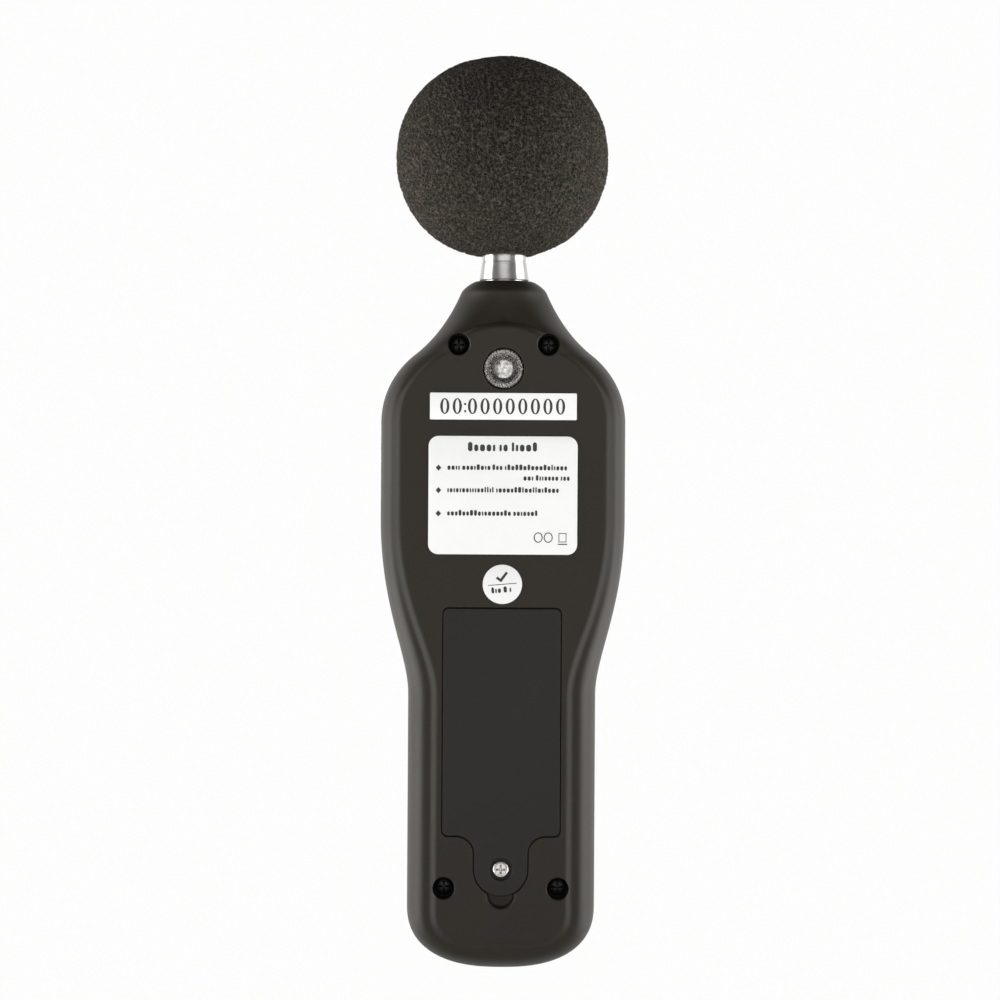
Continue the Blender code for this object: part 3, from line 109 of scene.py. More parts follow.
def case_side():
    """One side of the case's outline, (x, z) from the nose down to the round bottom end."""
    ceiling = (CASE_TOP_Z - WALL - NOSE_BASE_Z) / (CASE_TOP_Z - NOSE_BASE_Z)
    u = np.cos(np.linspace(0, 1, 13)[:-1] * np.pi / 2)
    u = np.sort(np.append(u, ceiling))[::-1]
    rounded = (1 - u**NOSE_POWER) ** (1 / NOSE_POWER)
    nose = np.column_stack([mix(NOSE_FLAT, NOSE_RADIUS, rounded), mix(NOSE_BASE_Z, CASE_TOP_Z, u)])
    neck, shoulder = (NOSE_RADIUS, NOSE_BASE_Z), (SHOULDER_HALF, SHOULDER_Z)
    flare = [neck, (0.0148, 0.0160), (SHOULDER_HALF - 0.0066, 0.0090), shoulder]
    round_ = [shoulder, (0.0293, 0.0010), (HEAD_HALF, HEAD_TOP_Z + 0.0097), (HEAD_HALF, HEAD_TOP_Z)]
    waist = [
        (HEAD_HALF, HEAD_END_Z),
        (HEAD_HALF, mix(HEAD_END_Z, GRIP_TOP_Z, 0.505)),
        (GRIP_HALF, mix(HEAD_END_Z, GRIP_TOP_Z, 0.775)),
        (GRIP_HALF, GRIP_TOP_Z),
    ]
    head = [(HEAD_HALF, z) for z in np.linspace(HEAD_TOP_Z, HEAD_END_Z, 9)[:-1]]
    grip = [(GRIP_HALF, z) for z in np.linspace(GRIP_TOP_Z, GRIP_END_Z, 13)[:-1]]
    return np.vstack([nose, bezier(flare, 34), bezier(round_, 28), head, bezier(waist, 40), grip])


def round_end(steps):
    """The case's lower end, (x, z) from its side to its middle: a superellipse quarter."""
    angles = np.linspace(0, np.pi / 2, steps)
    x = GRIP_HALF * np.abs(np.cos(angles)) ** (2 / BOTTOM_POWER)
    x[-1] = 0.0
    return np.column_stack([x, GRIP_END_Z - BOTTOM_ROUND * np.sin(angles) ** (2 / BOTTOM_POWER)])


def rounded_edge(inset, width, power):
    """Height of a superellipse quarter, (1 - (1 - inset/width)^p)^(1/p), from 0 to 1."""
    share = 1 - np.clip(inset / width, 0, 1)
    return (1 - share**power) ** (1 / power)


def mesh_piece(name, points, faces):
    """A mesh object from an array of points and lists of corners, its faces turned outwards."""
    mesh = bpy.data.meshes.new(name)
    mesh.from_pydata(np.asarray(points).tolist(), [], faces)
    bm = bmesh.new()
    bm.from_mesh(mesh)
    bmesh.ops.remove_doubles(bm, verts=bm.verts, dist=1e-6)
    bmesh.ops.dissolve_degenerate(bm, dist=1e-6, edges=bm.edges)
    bmesh.ops.recalc_face_normals(bm, faces=bm.faces)
    bm.to_mesh(mesh)
    bm.free()
    piece = bpy.data.objects.new(name, mesh)
    bpy.context.scene.collection.objects.link(piece)
    return piece


def grid_faces(rows, columns, around=False):
    """Corners of the quads of a grid of points, row by row; around joins the last column."""
    index = np.arange(rows * columns).reshape(rows, columns)
    if around:
        index = np.column_stack([index, index[:, 0]])
    quads = np.stack([index[:-1, :-1], index[:-1, 1:], index[1:, 1:], index[1:, :-1]], axis=-1)
    return quads.reshape(-1, 4).tolist()


def case_form(name, side, wall, seam_y):
    """Half of the case as a solid that ends flat at seam_y, or its hollow if wall isn't 0.

    Along a ray, the height is a rounded edge up to a plateau, then for the back a soft step
    up to the flat panel, whose upper end is a wide arc. The nose blends to a round section.
    """
    edge = case_side()
    slope = np.gradient(edge, axis=0)
    slant = np.abs(slope[:, 1]) / np.hypot(slope[:, 0], slope[:, 1])
    x, z = np.concatenate([edge, round_end(END_POINTS)]).T
    spine = np.maximum(z, GRIP_END_Z)
    nose = smooth((z - NOSE_BLEND_Z) / (NOSE_BASE_Z - NOSE_BLEND_Z))
    slant = mix(np.concatenate([slant, np.ones(END_POINTS)]), 1.0, nose)
    grip = np.clip((HEAD_HALF - x) / (HEAD_HALF - GRIP_HALF), 0, 1) * (z < HEAD_END_Z)
    grip = np.where(z <= GRIP_TOP_Z, 1.0, grip)
    reach = np.hypot(x, z - spine)
    step, power, width = 0.0, FRONT_POWER, FRONT_SHOULDER + 0 * x
    if side > 0:
        step, power, width = PANEL_STEP, REAR_POWER, mix(*REAR_SHOULDER, grip)
    height = mix(HALF_DEPTH - step, np.where(z > NOSE_BASE_Z, x, NOSE_RADIUS), nose) - wall
    width = mix(width / slant, reach, nose) - wall / slant
    power = mix(power, 2.0, nose)[:, None]
    start = wall / slant
    border = mix(*PANEL_INSET, grip) / slant
    top = x - np.sqrt(2 * PANEL_TOP_RADIUS * np.clip(PANEL_TOP_Z - z, 0, None))
    border = np.where(spine > HEAD_TOP_Z, np.maximum(border, top), border)
    insets = [start + share * width for share in (1 - np.cos(np.linspace(0, 1, 18) * np.pi / 2))]
    if side > 0:
        insets += [border + k * PANEL_STEP_WIDTH / slant for k in np.linspace(-0.55, 0.55, 15)]
    inner = insets[-1]
    insets += [mix(inner, reach, k) for k in np.linspace(0, 1, 9)[1:]]
    insets = np.maximum.accumulate(np.column_stack(insets), axis=1)
    insets = np.minimum(insets, reach[:, None])
    share = insets / reach[:, None]
    across = x[:, None] * (1 - share)
    along = mix(z[:, None], spine[:, None], share)
    rise = rounded_edge(insets - start[:, None], width[:, None], power) * height[:, None]
    if side > 0:
        inside = (insets - border[:, None]) * slant[:, None] / PANEL_STEP_WIDTH + 0.5
        below = PANEL_TOP_Z - across**2 / (2 * PANEL_TOP_RADIUS) - along
        rise = mix(rise, HALF_DEPTH - wall, smooth(inside) * smooth(below / PANEL_STEP_WIDTH + 0.5))
    level = -HALF_DEPTH + side * rise
    if wall == 0:
        level = side * np.maximum(side * level, side * seam_y)
    kept = z <= CASE_TOP_Z - wall + 1e-6
    half = np.stack([across, level, along], axis=-1)[kept]
    foot = half[:, :1] * (1, 0, 1) + (0, seam_y, 0)
    half = np.concatenate([foot, half], axis=1)
    whole = np.concatenate([half, half[-2::-1] * (-1, 1, 1)])
    rows, columns = whole.shape[:2]
    faces = grid_faces(rows, columns)
    seam = (np.arange(rows) * columns).tolist()
    end = list(range(columns)) + list(range(rows * columns - 1, (rows - 1) * columns - 1, -1))
    return mesh_piece(name, whole.reshape(-1, 3), faces + [seam, end])


def lathe(name, profile, at=(0, 0, 0), along="Z", sides=96, swell=0.0):
    """A turned solid: the (radius, height) profile carried round an axis through a point.

    swell is added to the radius, and may differ from row to row and from side to side.
    """
    profile = np.array(profile, float)
    angle = np.linspace(0, 2 * np.pi, sides, endpoint=False)
    radius, height = profile[:, :1] + swell, profile[:, 1:] + 0 * angle
    points = np.stack([radius * np.cos(angle), radius * np.sin(angle), height], axis=-1)
    order = {"Z": (0, 1, 2), "Y": (0, 2, 1), "X": (2, 0, 1)}[along]
    points = points.reshape(-1, 3)[:, order] + np.array(at)
    faces = grid_faces(len(profile), sides, around=True)
    if profile[0][0] > 0:
        ring = np.arange(sides)
        last = (len(profile) - 1) * sides + ring
        joined = np.stack([last, np.roll(last, -1), np.roll(ring, -1), ring], axis=-1)
        faces += joined.tolist()
    return mesh_piece(name, points, faces)


def stack(name, outline, levels):
    """A flat solid: an outline, a function of how much it grows, at (y, growth) levels."""
    rings = []
    for y, grow in levels:
        ring = np.array(outline(grow), float)
        rings.append(np.column_stack([ring[:, 0], np.full(len(ring), y), ring[:, 1]]))
    count = len(rings[0])
    faces = grid_faces(len(rings), count, around=True)
    top = list(range((len(rings) - 1) * count, len(rings) * count))
    return mesh_piece(name, np.concatenate(rings), faces + [list(range(count)), top])


def arc(x, z, radius, start, end, steps):
    """Points on an arc from start to end, in quarter turns from +X towards +Z."""
    angle = np.linspace(start, end, steps + 1) * np.pi / 2
    return np.column_stack([x + radius * np.cos(angle), z + radius * np.sin(angle)])


def slab(low, high, corner, steps=8):
    """The outline function of a rectangle between (x, z) corners, its own corners round."""
    def outline(grow):
        radius = corner + grow
        left, bottom = low[0] + corner, low[1] + corner
        right, top = high[0] - corner, high[1] - corner
        return np.vstack([
            arc(right, top, radius, 0, 1, steps), arc(left, top, radius, 1, 2, steps),
            arc(left, bottom, radius, 2, 3, steps), arc(right, bottom, radius, 3, 4, steps),
        ])
    return outline


def disc(x, z, radius, steps=48):
    """The outline function of a circle."""
    return lambda grow: arc(x, z, radius + grow, 0, 4, steps)[:-1]


def rounded_levels(low, high, edge, steps=4):
    """Levels (y, growth) of a plate whose upper edge, towards +Y, is rounded."""
    angle = np.linspace(0, 1, steps + 1) * np.pi / 2
    curve = [(high - edge + edge * math.sin(a), edge * (math.cos(a) - 1)) for a in angle]
    return [(low, 0.0)] + curve


def boolean(piece, operation, tools):
    """Joins or cuts a piece with others by exact Booleans, then removes the others."""
    for tool in tools:
        modifier = piece.modifiers.new(operation, "BOOLEAN")
        modifier.operation = operation
        modifier.object = tool
    bpy.context.view_layer.update()
    evaluated = piece.evaluated_get(bpy.context.evaluated_depsgraph_get())
    mesh = bpy.data.meshes.new_from_object(evaluated)
    piece.modifiers.clear()
    piece.data = mesh
    for tool in tools:
        bpy.data.objects.remove(tool)
    return piece


def soften(piece, angle=35):
    """Smooth shading, with edges sharper than an angle in degrees left crisp."""
    piece.data.shade_smooth()
    piece.data.set_sharp_from_angle(angle=math.radians(angle))
    return piece


def place(piece, paint, body, slot_name, *nodes):
    """Gives a piece its finish, rides it on a body and hides the plain solids it stands for."""
    paint.on(piece)
    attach(piece, body)
    if nodes:
        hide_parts(*nodes)
    return piece


class Term:
    """A number that varies over a surface. Sums and products of terms add Math nodes."""

    def __init__(self, nodes, socket):
        self.nodes, self.socket = nodes, socket

    def maths(self, operation, *values):
        return self.nodes.add("ShaderNodeMath", {"operation": operation}, dict(enumerate(values)))

    def __add__(self, other):
        return self.maths("ADD", self, other)

    def __sub__(self, other):
        return self.maths("SUBTRACT", self, other)

    def __rsub__(self, other):
        return self.maths("SUBTRACT", other, self)

    def __mul__(self, other):
        return self.maths("MULTIPLY", self, other)

    __radd__, __rmul__ = __add__, __mul__


class Nodes:
    """A node tree that grows by calls and by expressions on its terms."""

    def __init__(self, tree, coordinates):
        self.tree = tree
        self.where = self.add("ShaderNodeTexCoord", {}, {}, coordinates)

    def add(self, kind, settings, sockets, output=0):
        """Adds a node: its settings first, then each socket's value or link."""
        node = self.tree.nodes.new(kind)
        for setting, value in settings.items():
            setattr(node, setting, value)
        for socket, value in sockets.items():
            self.feed(node.inputs[socket], value)
        return Term(self, node.outputs[output])

    def feed(self, socket, value):
        """Links a term to a socket, or sets the socket to a plain value."""
        if isinstance(value, Term):
            self.tree.links.new(value.socket, socket)
        else:
            socket.default_value = value

    def axis(self, name):
        """One coordinate of the place, or of the direction in a world."""
        return self.add("ShaderNodeSeparateXYZ", {}, {0: self.where}, name)

    def ramp(self, value, low, high, start=0.0, end=1.0, curve="LINEAR"):
        """A term that goes from start to end as a value goes from low to high."""
        sockets = dict(enumerate((value, low, high, start, end)))
        return self.add("ShaderNodeMapRange", {"interpolation_type": curve}, sockets)


class Paint(Nodes):
    """One procedural finish: a Principled shader and the nodes that vary it."""

    def __init__(self, name, colour, roughness, metallic=0.0, **extra):
        self.material = bpy.data.materials.new(name)
        self.material.use_nodes = True
        super().__init__(self.material.node_tree, "Object")
        self.shader = self.tree.nodes["Principled BSDF"]
        values = {"Base Color": (*colour, 1.0), "Roughness": roughness, "Metallic": metallic}
        values.update({socket.replace("_", " "): value for socket, value in extra.items()})
        for socket, value in values.items():
            self.shader.inputs[socket].default_value = value

    def noise(self, scale, detail=2.0, rough=0.5):
        """Soft random patches, from 0 to 1, scale of them to the metre."""
        sockets = {"Vector": self.where, "Scale": scale, "Detail": detail, "Roughness": rough}
        return self.add("ShaderNodeTexNoise", {}, sockets, "Fac")

    def blend(self, share, low, high):
        """A colour between two, each a colour or a term, by a share from 0 to 1."""
        low, high = (end if isinstance(end, Term) else (*end, 1.0) for end in (low, high))
        return self.add("ShaderNodeMix", {"data_type": "RGBA"}, {"Factor": share, 6: low, 7: high}, 2)

    def vary(self, **links):
        """Feeds terms to the shader's sockets."""
        for socket, value in links.items():
            self.feed(self.shader.inputs[socket.replace("_", " ")], value)
        return self

    def bump(self, height, depth):
        """Raises the surface by a height term, depth metres from 0 to 1."""
        sockets = {"Height": height, "Distance": depth, "Strength": 1.0}
        self.feed(self.shader.inputs["Normal"], self.add("ShaderNodeBump", {}, sockets, "Normal"))
        return self

    def on(self, *pieces):
        """Puts the finish on pieces."""
        for piece in pieces:
            piece.data.materials.clear()
            piece.data.materials.append(self.material)
            piece.data.update()
        return self


PLASTIC_GLOSS = 0.26


def moulded(name, dark, light, roughness, grain=2600, depth=0.00003):
    """Moulded plastic: a fine even grain, faint handling patches and a little dust."""
    paint = Paint(name, dark, roughness, Specular_IOR_Level=PLASTIC_GLOSS)
    texture = paint.noise(grain, 3.0, 0.6)
    patches = paint.noise(45, 3.0)
    paint.vary(
        Base_Color=paint.blend(patches * 0.6 + texture * 0.4, dark, light),
        Roughness=roughness - 0.07 + patches * 0.10 + texture * 0.05,
    )
    return paint.bump(texture, depth)


CASE_DARK, CASE_LIGHT = (0.0118, 0.0092, 0.0056), (0.0195, 0.0156, 0.0100)
case_plastic = moulded("case_plastic", CASE_DARK, CASE_LIGHT, 0.50)


def middle(node):
    """The middle of a node's box."""
    low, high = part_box(node)
    return (low + high) / 2


SCREWS = [middle(f"case_screw_{i}") for i in (1, 2, 3, 4)]
SCREW_SEAT_Y, SHAFT_HOLE_RADIUS = -0.0080, 0.0016
WELL_RADIUS, WELL_EDGE, WELL_WALL = 0.0031, 0.00025, 0.0012
cover_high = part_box("battery_cover")[1]
COVER_HALF, COVER_THICKNESS, COVER_LINE = cover_high.x, 0.0020, 0.00025
TONGUE_HALF, TONGUE_FILLET, COVER_CORNER = 0.0075, 0.0050, 0.0015
COVER_TOP_Z = cover_high.z - 0.0030
COVER_SCREW_Z = sum(p.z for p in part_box("cover_screw")) / 2
COVER_FOOT_Z = COVER_SCREW_Z + 0.0093
FOOT_X, FOOT_SLOT_HALF = 0.0072, 0.0026
TRAY_Z = (COVER_FOOT_Z + 0.0030, COVER_TOP_Z - 0.0030)
TRAY_HALF, TRAY_FLOOR_Y, TRAY_WALL = COVER_HALF - 0.0026, -0.0216, 0.0013
LEDGE_Y = -COVER_THICKNESS - GAP
LEDGE_WIDTH = 0.0020
INSERT_POST, COVER_POST = (0.0075, -0.0109), (0.0035, -0.0090)
NOTCH_HALF, NOTCH_END_Z, NOTCH_DEPTH = 0.0039, COVER_SCREW_Z - 0.0110, 0.0017
NOTCH_TOP_Z = COVER_SCREW_Z - 0.0038
OUT = 0.001  # how far a post or a cutter runs past a face


def cover_outline(grow):
    """The battery cover: a rectangle with a tongue, whose end is round about the screw."""
    fillet, corner, tongue = TONGUE_FILLET - grow, COVER_CORNER + grow, TONGUE_HALF + grow
    x = COVER_HALF - COVER_CORNER
    right = np.vstack([
        arc(x, COVER_TOP_Z - COVER_CORNER, corner, 1, 0, 8),
        arc(x, COVER_FOOT_Z + COVER_CORNER, corner, 0, -1, 8),
        arc(TONGUE_HALF + TONGUE_FILLET, COVER_FOOT_Z - TONGUE_FILLET, fillet, 1, 2, 10),
        arc(0, COVER_SCREW_Z, tongue, 0, -1, 20),
    ])
    return np.vstack([right, right[-2::-1] * (-1, 1)])


def post(name, x, z, radius, low, high):
    """A round post or hole along Y."""
    return lathe(name, [(0, low), (radius, low), (radius, high), (0, high)], (x, 0, z), "Y", 48)


def flared_hole(name, outline, floor, edge):
    """A cutter for a hole from a floor out past the back face, its rim a little flared."""
    return stack(name, outline, [(floor, 0), (-edge, 0), (0.0, edge), (0.002, edge + 0.002)])


def block(name, low, high):
    """A plain box between two corners, for joining or cutting."""
    flat = slab((low[0], low[2]), (high[0], high[2]), 1e-5, 1)
    return stack(name, flat, [(low[1], 0), (high[1], 0)])


def neck_hole():
    """A cutter for the hole in the nose that the microphone's neck passes through."""
    return lathe("neck", [(0, 0.02), (0.0063, 0.02), (0.0063, 0.03), (0, 0.03)], (0, -HALF_DEPTH, 0))


def notch_outline(grow):
    """The finger notch below the cover's tongue: a half round with straight sides."""
    low = arc(0, NOTCH_END_Z + NOTCH_HALF, NOTCH_HALF + grow, 2, 4, 20)
    return np.vstack([low, [(NOTCH_HALF + grow, NOTCH_TOP_Z), (-NOTCH_HALF - grow, NOTCH_TOP_Z)]])


def case_half(name, side, posts):
    """A shell: the form, less its hollow, which leaves the posts standing."""
    outer = case_form(name, side, 0.0, -HALF_DEPTH + side * GAP / 2)
    hollow = case_form("hollow", side, WALL, -HALF_DEPTH - side * OUT)
    boolean(hollow, "DIFFERENCE", posts)
    return boolean(outer, "DIFFERENCE", [hollow])


posts = [post("post", p.x, p.z, WELL_RADIUS + WELL_WALL, -0.036, OUT) for p in SCREWS]
posts.append(post("post", 0, 0, *INSERT_POST, OUT))
posts.append(post("post", 0, COVER_SCREW_Z, *COVER_POST, OUT))
posts.append(stack("ledge", cover_outline, [(LEDGE_Y - 0.0015, LEDGE_WIDTH), (OUT, LEDGE_WIDTH)]))
rear_shell = case_half("rear_case", 1, posts)
tray_low = (-TRAY_HALF - TRAY_WALL, TRAY_FLOOR_Y - TRAY_WALL, TRAY_Z[0] - TRAY_WALL)
tray_high = (TRAY_HALF + TRAY_WALL, LEDGE_Y - 0.0007, TRAY_Z[1] + TRAY_WALL)
boolean(rear_shell, "UNION", [block("tray", tray_low, tray_high)])
door = [(LEDGE_Y, COVER_LINE), (-0.0002, COVER_LINE), (0, 0.0004), (0.002, 0.0024)]
notch = [(-NOTCH_DEPTH, -0.0006), (-0.0010, -0.0001), (-0.0003, 0), (0, 0.0003), (0.001, 0.0013)]
cuts = [
    stack("door", cover_outline, door),
    block("pocket", (-TRAY_HALF, TRAY_FLOOR_Y, TRAY_Z[0]), (TRAY_HALF, OUT, TRAY_Z[1])),
    flared_hole("insert", disc(0, 0, 0.0058, 64), -0.0093, 0.00015),
    post("hole", 0, COVER_SCREW_Z, 0.0020, -0.0075, OUT),
    neck_hole(),
    block("slot", (0.0100, -0.0165, TRAY_Z[1] - 0.001), (0.0130, -0.0085, TRAY_Z[1] + 0.003)),
]
for x in (-FOOT_X, FOOT_X):
    low = (x - FOOT_SLOT_HALF, -0.0066, TRAY_Z[1] - 0.0004)
    cuts.append(block("slot", low, (x + FOOT_SLOT_HALF, -0.0021, COVER_TOP_Z + 0.0034)))
for p in SCREWS:
    cuts.append(flared_hole("well", disc(p.x, p.z, WELL_RADIUS), SCREW_SEAT_Y, WELL_EDGE))
    cuts.append(post("shaft", p.x, p.z, SHAFT_HOLE_RADIUS, -0.020, -OUT))
cuts.append(stack("notch", notch_outline, notch))
boolean(rear_shell, "DIFFERENCE", cuts)
place(soften(rear_shell), case_plastic, "case", "case_black", "rear_shell")


# The front half of the case, moulded in the same plastic. It carries the display window and
# the keys, posts for the four case screws and the board, and the holes in its two sides. A
# lip inside the joint keeps dust and light out of it.
WINDOW_LOW, WINDOW_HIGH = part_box("display_window")
FRONT_Y = front_low.y
KEYS = ("power", "backlight", "hold", "max_min", "response", "weighting")
KEY_RADIUS, KEY_REACH = 0.0035, 0.0020
SOCKETS = ("output_jack", "power_jack")
SOCKET_HOLE, TRIMMER_HOLE = 0.0030, 0.0017
WINDOW_CORNER, WINDOW_LIP = 0.0022, 0.0020
BOARD_SCREWS = [f"board_screw_{i}" for i in (1, 2, 3, 4)]


def key_outline(key, extra=0.0):
    """A key seen from the front: two half rounds joined by straight sides."""
    at = middle(f"{key}_button")

    def outline(grow):
        radius = KEY_RADIUS + extra + grow
        right = arc(at.x + KEY_REACH, at.z, radius, -1, 1, 16)
        return np.vstack([right, arc(at.x - KEY_REACH, at.z, radius, 1, 3, 16)])
    return outline


def side_hole(name, node, radius, side):
    """A round hole through the side wall, with a small bevel at its mouth."""
    at, edge = middle(node), 0.0004
    inner, mouth, outer = side * (HEAD_HALF - 0.006), side * (HEAD_HALF - edge), side * (HEAD_HALF + 0.002)
    profile = [(0, inner), (radius, inner), (radius, mouth), (radius + edge, outer), (0, outer)]
    return lathe(name, profile, (0, at.y, at.z), "X", 40)


posts = [post("post", p.x, p.z, 0.0028, FRONT_Y - OUT, -HALF_DEPTH + OUT) for p in SCREWS]
posts += [post("post", p.x, p.z, 0.0023, FRONT_Y - OUT, -0.0288) for p in map(middle, BOARD_SCREWS)]
front_shell = case_half("front_case", -1, posts)
window = slab((WINDOW_LOW.x, WINDOW_LOW.z), (WINDOW_HIGH.x, WINDOW_HIGH.z), WINDOW_CORNER)
seat = [(FRONT_Y - OUT, 0.0013), (FRONT_Y, 0.0005), (FRONT_Y + 0.0003, GAP), (WINDOW_HIGH.y + GAP, GAP)]
key_hole = [(FRONT_Y - OUT, 0.0010), (FRONT_Y + 0.0003, 0), (FRONT_Y + WALL + OUT, 0)]
cuts = [
    stack("seat", window, seat),
    stack("view", window, [(FRONT_Y, -WINDOW_LIP), (FRONT_Y + WALL + OUT, -WINDOW_LIP)]),
    neck_hole(),
    side_hole("trimmer", "trimmer_rotor", TRIMMER_HOLE, -1),
]
cuts += [side_hole("socket", name, SOCKET_HOLE, 1) for name in SOCKETS]
cuts += [stack("key", key_outline(key, GAP), key_hole) for key in KEYS]
cuts += [post("pilot", p.x, p.z, SHAFT_HOLE_RADIUS, -0.0265, -0.0155) for p in SCREWS]
cuts += [post("pilot", p.x, p.z, 0.0013, -0.0319, -0.0268) for p in map(middle, BOARD_SCREWS)]
boolean(front_shell, "DIFFERENCE", cuts)
place(soften(front_shell), case_plastic, "case", "case_black", "front_shell")


TONGUE_DEPTHS, TONGUE_REACH, TONGUE_START = (0.0008, 0.0015), 0.0011, 0.0074


def seam_tongue():
    """The lip that closes the joint: a rectangle carried round the outline, inset from it.

    The path runs down one side, round the superellipse end and up the other, and stops
    short of the neck at both ends. Each corner lies along the path's inward normal.
    """
    path = np.concatenate([case_side(), round_end(30)])
    path = path[(path[:, 0] > TONGUE_START) | (path[:, 1] < GRIP_END_Z)]
    path = np.concatenate([path, path[-2::-1] * (-1, 1)])
    slope = np.gradient(path, axis=0)
    inward = np.column_stack([slope[:, 1], -slope[:, 0]]) / np.linalg.norm(slope, axis=1)[:, None]
    near, far = (path + inward * depth for depth in TONGUE_DEPTHS)
    front, back = SEAM_Y - TONGUE_REACH, SEAM_Y + TONGUE_REACH
    corners = [(near, front), (near, back), (far, back), (far, front)]
    rings = np.stack([np.insert(line, 1, y, axis=1) for line, y in corners], axis=1)
    rows = len(rings)
    caps = [[0, 1, 2, 3], [4 * rows - 4, 4 * rows - 3, 4 * rows - 2, 4 * rows - 1]]
    return mesh_piece("seam_tongue", rings.reshape(-1, 3), grid_faces(rows, 4, around=True) + caps)


place(seam_tongue(), case_plastic, "case", "case_black")


# Four pan-head screws hold the halves together from the bottom of the deep wells. They are
# steel, chemically blackened, with a rolled thread and a cross recess in the head.
THREAD_PITCH, THREAD_DEPTH = 0.0006, 0.00018


def cross(reach, half):
    """The outline function of a cross recess, its arms' reach and half width."""
    def outline(grow):
        long, thin = reach + grow, half + grow * 0.4
        corner = np.array([(long, -thin), (long, thin), (thin, thin)])
        turn = [(1, 0, 0, 1), (0, -1, 1, 0), (-1, 0, 0, -1), (0, 1, -1, 0)]
        return np.vstack([corner @ np.array([(a, c), (b, d)]) for a, b, c, d in turn])
    return outline


def screw(name, at, head, shaft, recess):
    """A pan-head machine screw along Y: at is (x, seat y, z), head and shaft (radius, length)."""
    x, seat, z = at
    radius, high = head
    top = seat + high
    u = np.linspace(0, 1, 9)[:-1] * np.pi / 2
    profile = [(radius * math.sin(a), seat + high * (0.42 + 0.58 * math.cos(a) ** 0.8)) for a in u]
    half_turn = THREAD_PITCH / 2
    rows = range(int(shaft[1] / half_turn) - 3)
    thread = [(shaft[0] - i % 2 * THREAD_DEPTH, seat - THREAD_PITCH - i * half_turn) for i in rows]
    foot = seat - shaft[1]
    profile += [(radius, seat + high * 0.36), (radius, seat), (shaft[0], seat)]
    profile += thread + [(shaft[0] * 0.5, foot), (0, foot)]
    piece = lathe(name, profile, (x, 0, z), "Y", 48)
    reach, half, depth = recess
    levels = [(top - depth, -0.45 * reach), (top - depth * 0.3, -0.1 * reach), (top + 0.0003, 0.1 * reach)]
    hole = stack("recess", cross(reach, half), levels)
    hole.data.transform(Matrix.Translation((x, 0, z)))
    return soften(boolean(piece, "DIFFERENCE", [hole]), 40)


black_steel = Paint("black_steel", (0.008, 0.008, 0.008), 0.40, 0.3)
oxide = black_steel.noise(900, 3.0)
black_steel.vary(
    Base_Color=black_steel.blend(oxide, (0.004, 0.004, 0.004), (0.014, 0.013, 0.013)),
    Roughness=oxide * 0.2 + 0.26,
).bump(oxide, 0.00002)
HEAD, SHAFT, RECESS = (0.0026, 0.0018), (0.0013, 0.0173), (0.0015, 0.00033, 0.0012)
for i, p in enumerate(SCREWS, start=1):
    piece = screw(f"case_screw_black_{i}", (p.x, SCREW_SEAT_Y + GAP, p.z), HEAD, SHAFT, RECESS)
    place(piece, black_steel, "case", "steel_black", f"case_screw_{i}")


# The tripod insert: turned brass, nickel plated, a quarter-inch thread in a straight-knurled
# bush that is pressed in hot, so its serrated rim shows round a countersunk mouth.
INSERT_RADIUS, INSERT_DEPTH, INSERT_FLOOR_Y = 0.0056, 0.0090, -0.0078
CREST_RADIUS, ROOT_RADIUS, MOUTH_RADIUS, PITCH = 0.00258, 0.00318, 0.0040, 0.00127
INSERT_SIDES, KNURLS, KNURL_DEPTH, THREAD_ROWS = 240, 40, 0.00038, 90
FLOOR_EDGE, MOUTH_EDGE = (0.0027, 0.0030), (0.0042, 0.0045)


def triangle(value):
    """A triangle wave, 0 at whole numbers and 1 half way between."""
    return 1 - np.abs(2 * (value % 1) - 1)


angle = np.linspace(0, 1, INSERT_SIDES, endpoint=False)
knurl = -KNURL_DEPTH * triangle(angle * KNURLS)
rim = [
    (0, -INSERT_DEPTH), (INSERT_RADIUS, -INSERT_DEPTH), (INSERT_RADIUS, -0.00035),
    (INSERT_RADIUS - 0.00025, -0.00008),
]
face = [
    (0.00505, 0.0), (0.00480, 0.0), (0.00472, -0.00016), (0.00440, -0.00016), (0.00432, 0.0),
    (MOUTH_RADIUS + 0.0001, 0.0), (MOUTH_RADIUS, -0.00008),
]
thread_y = np.linspace(-0.00095, INSERT_FLOOR_Y + 0.0002, THREAD_ROWS)
profile = rim + face + [(ROOT_RADIUS - 0.00005, -0.00085)]
flat_rows = len(profile)
profile += [(ROOT_RADIUS, y) for y in thread_y]
profile += [
    (ROOT_RADIUS - 0.0003, INSERT_FLOOR_Y), (0.0012, INSERT_FLOOR_Y - 0.0003),
    (0, INSERT_FLOOR_Y - 0.0005),
]
swell = np.zeros((len(profile), INSERT_SIDES))
swell[1:4] = knurl
swell[4] = knurl * 0.7
fade = np.clip((-0.0009 - thread_y) / PITCH, 0, 1)[:, None]
swell[flat_rows:-3] = -(ROOT_RADIUS - CREST_RADIUS) * fade * triangle(thread_y[:, None] / PITCH - angle)
insert = soften(lathe("tripod_bush", profile, along="Y", sides=INSERT_SIDES, swell=swell), 50)
bush = Paint("insert_nickel", (0.5, 0.48, 0.45), 0.26, 1.0)
flat = bush.add("ShaderNodeVectorMath", {"operation": "MULTIPLY"}, {0: bush.where, 1: (1, 0, 1)})
from_axis = bush.add("ShaderNodeVectorMath", {"operation": "LENGTH"}, {0: flat}, "Value")
on_floor = bush.ramp(from_axis, *FLOOR_EDGE, 1.0, 0.0)
in_mouth = bush.ramp(from_axis, *MOUTH_EDGE, 1.0, 0.0)
glint = bush.ramp(bush.noise(3600, 4.0, 0.8), 0.46, 0.60)
swirl = bush.ramp(bush.noise(750, 3.0), 0.38, 0.60)
# The colour paints light and shade: glints on the serrated rim are painted highlights, the countersunk mouth
# is painted dark as shade, and the thread and floor of the bore are painted brighter as light.
painted_rim_glints = bush.blend(glint, (0.14, 0.13, 0.12), (0.98, 0.96, 0.92))
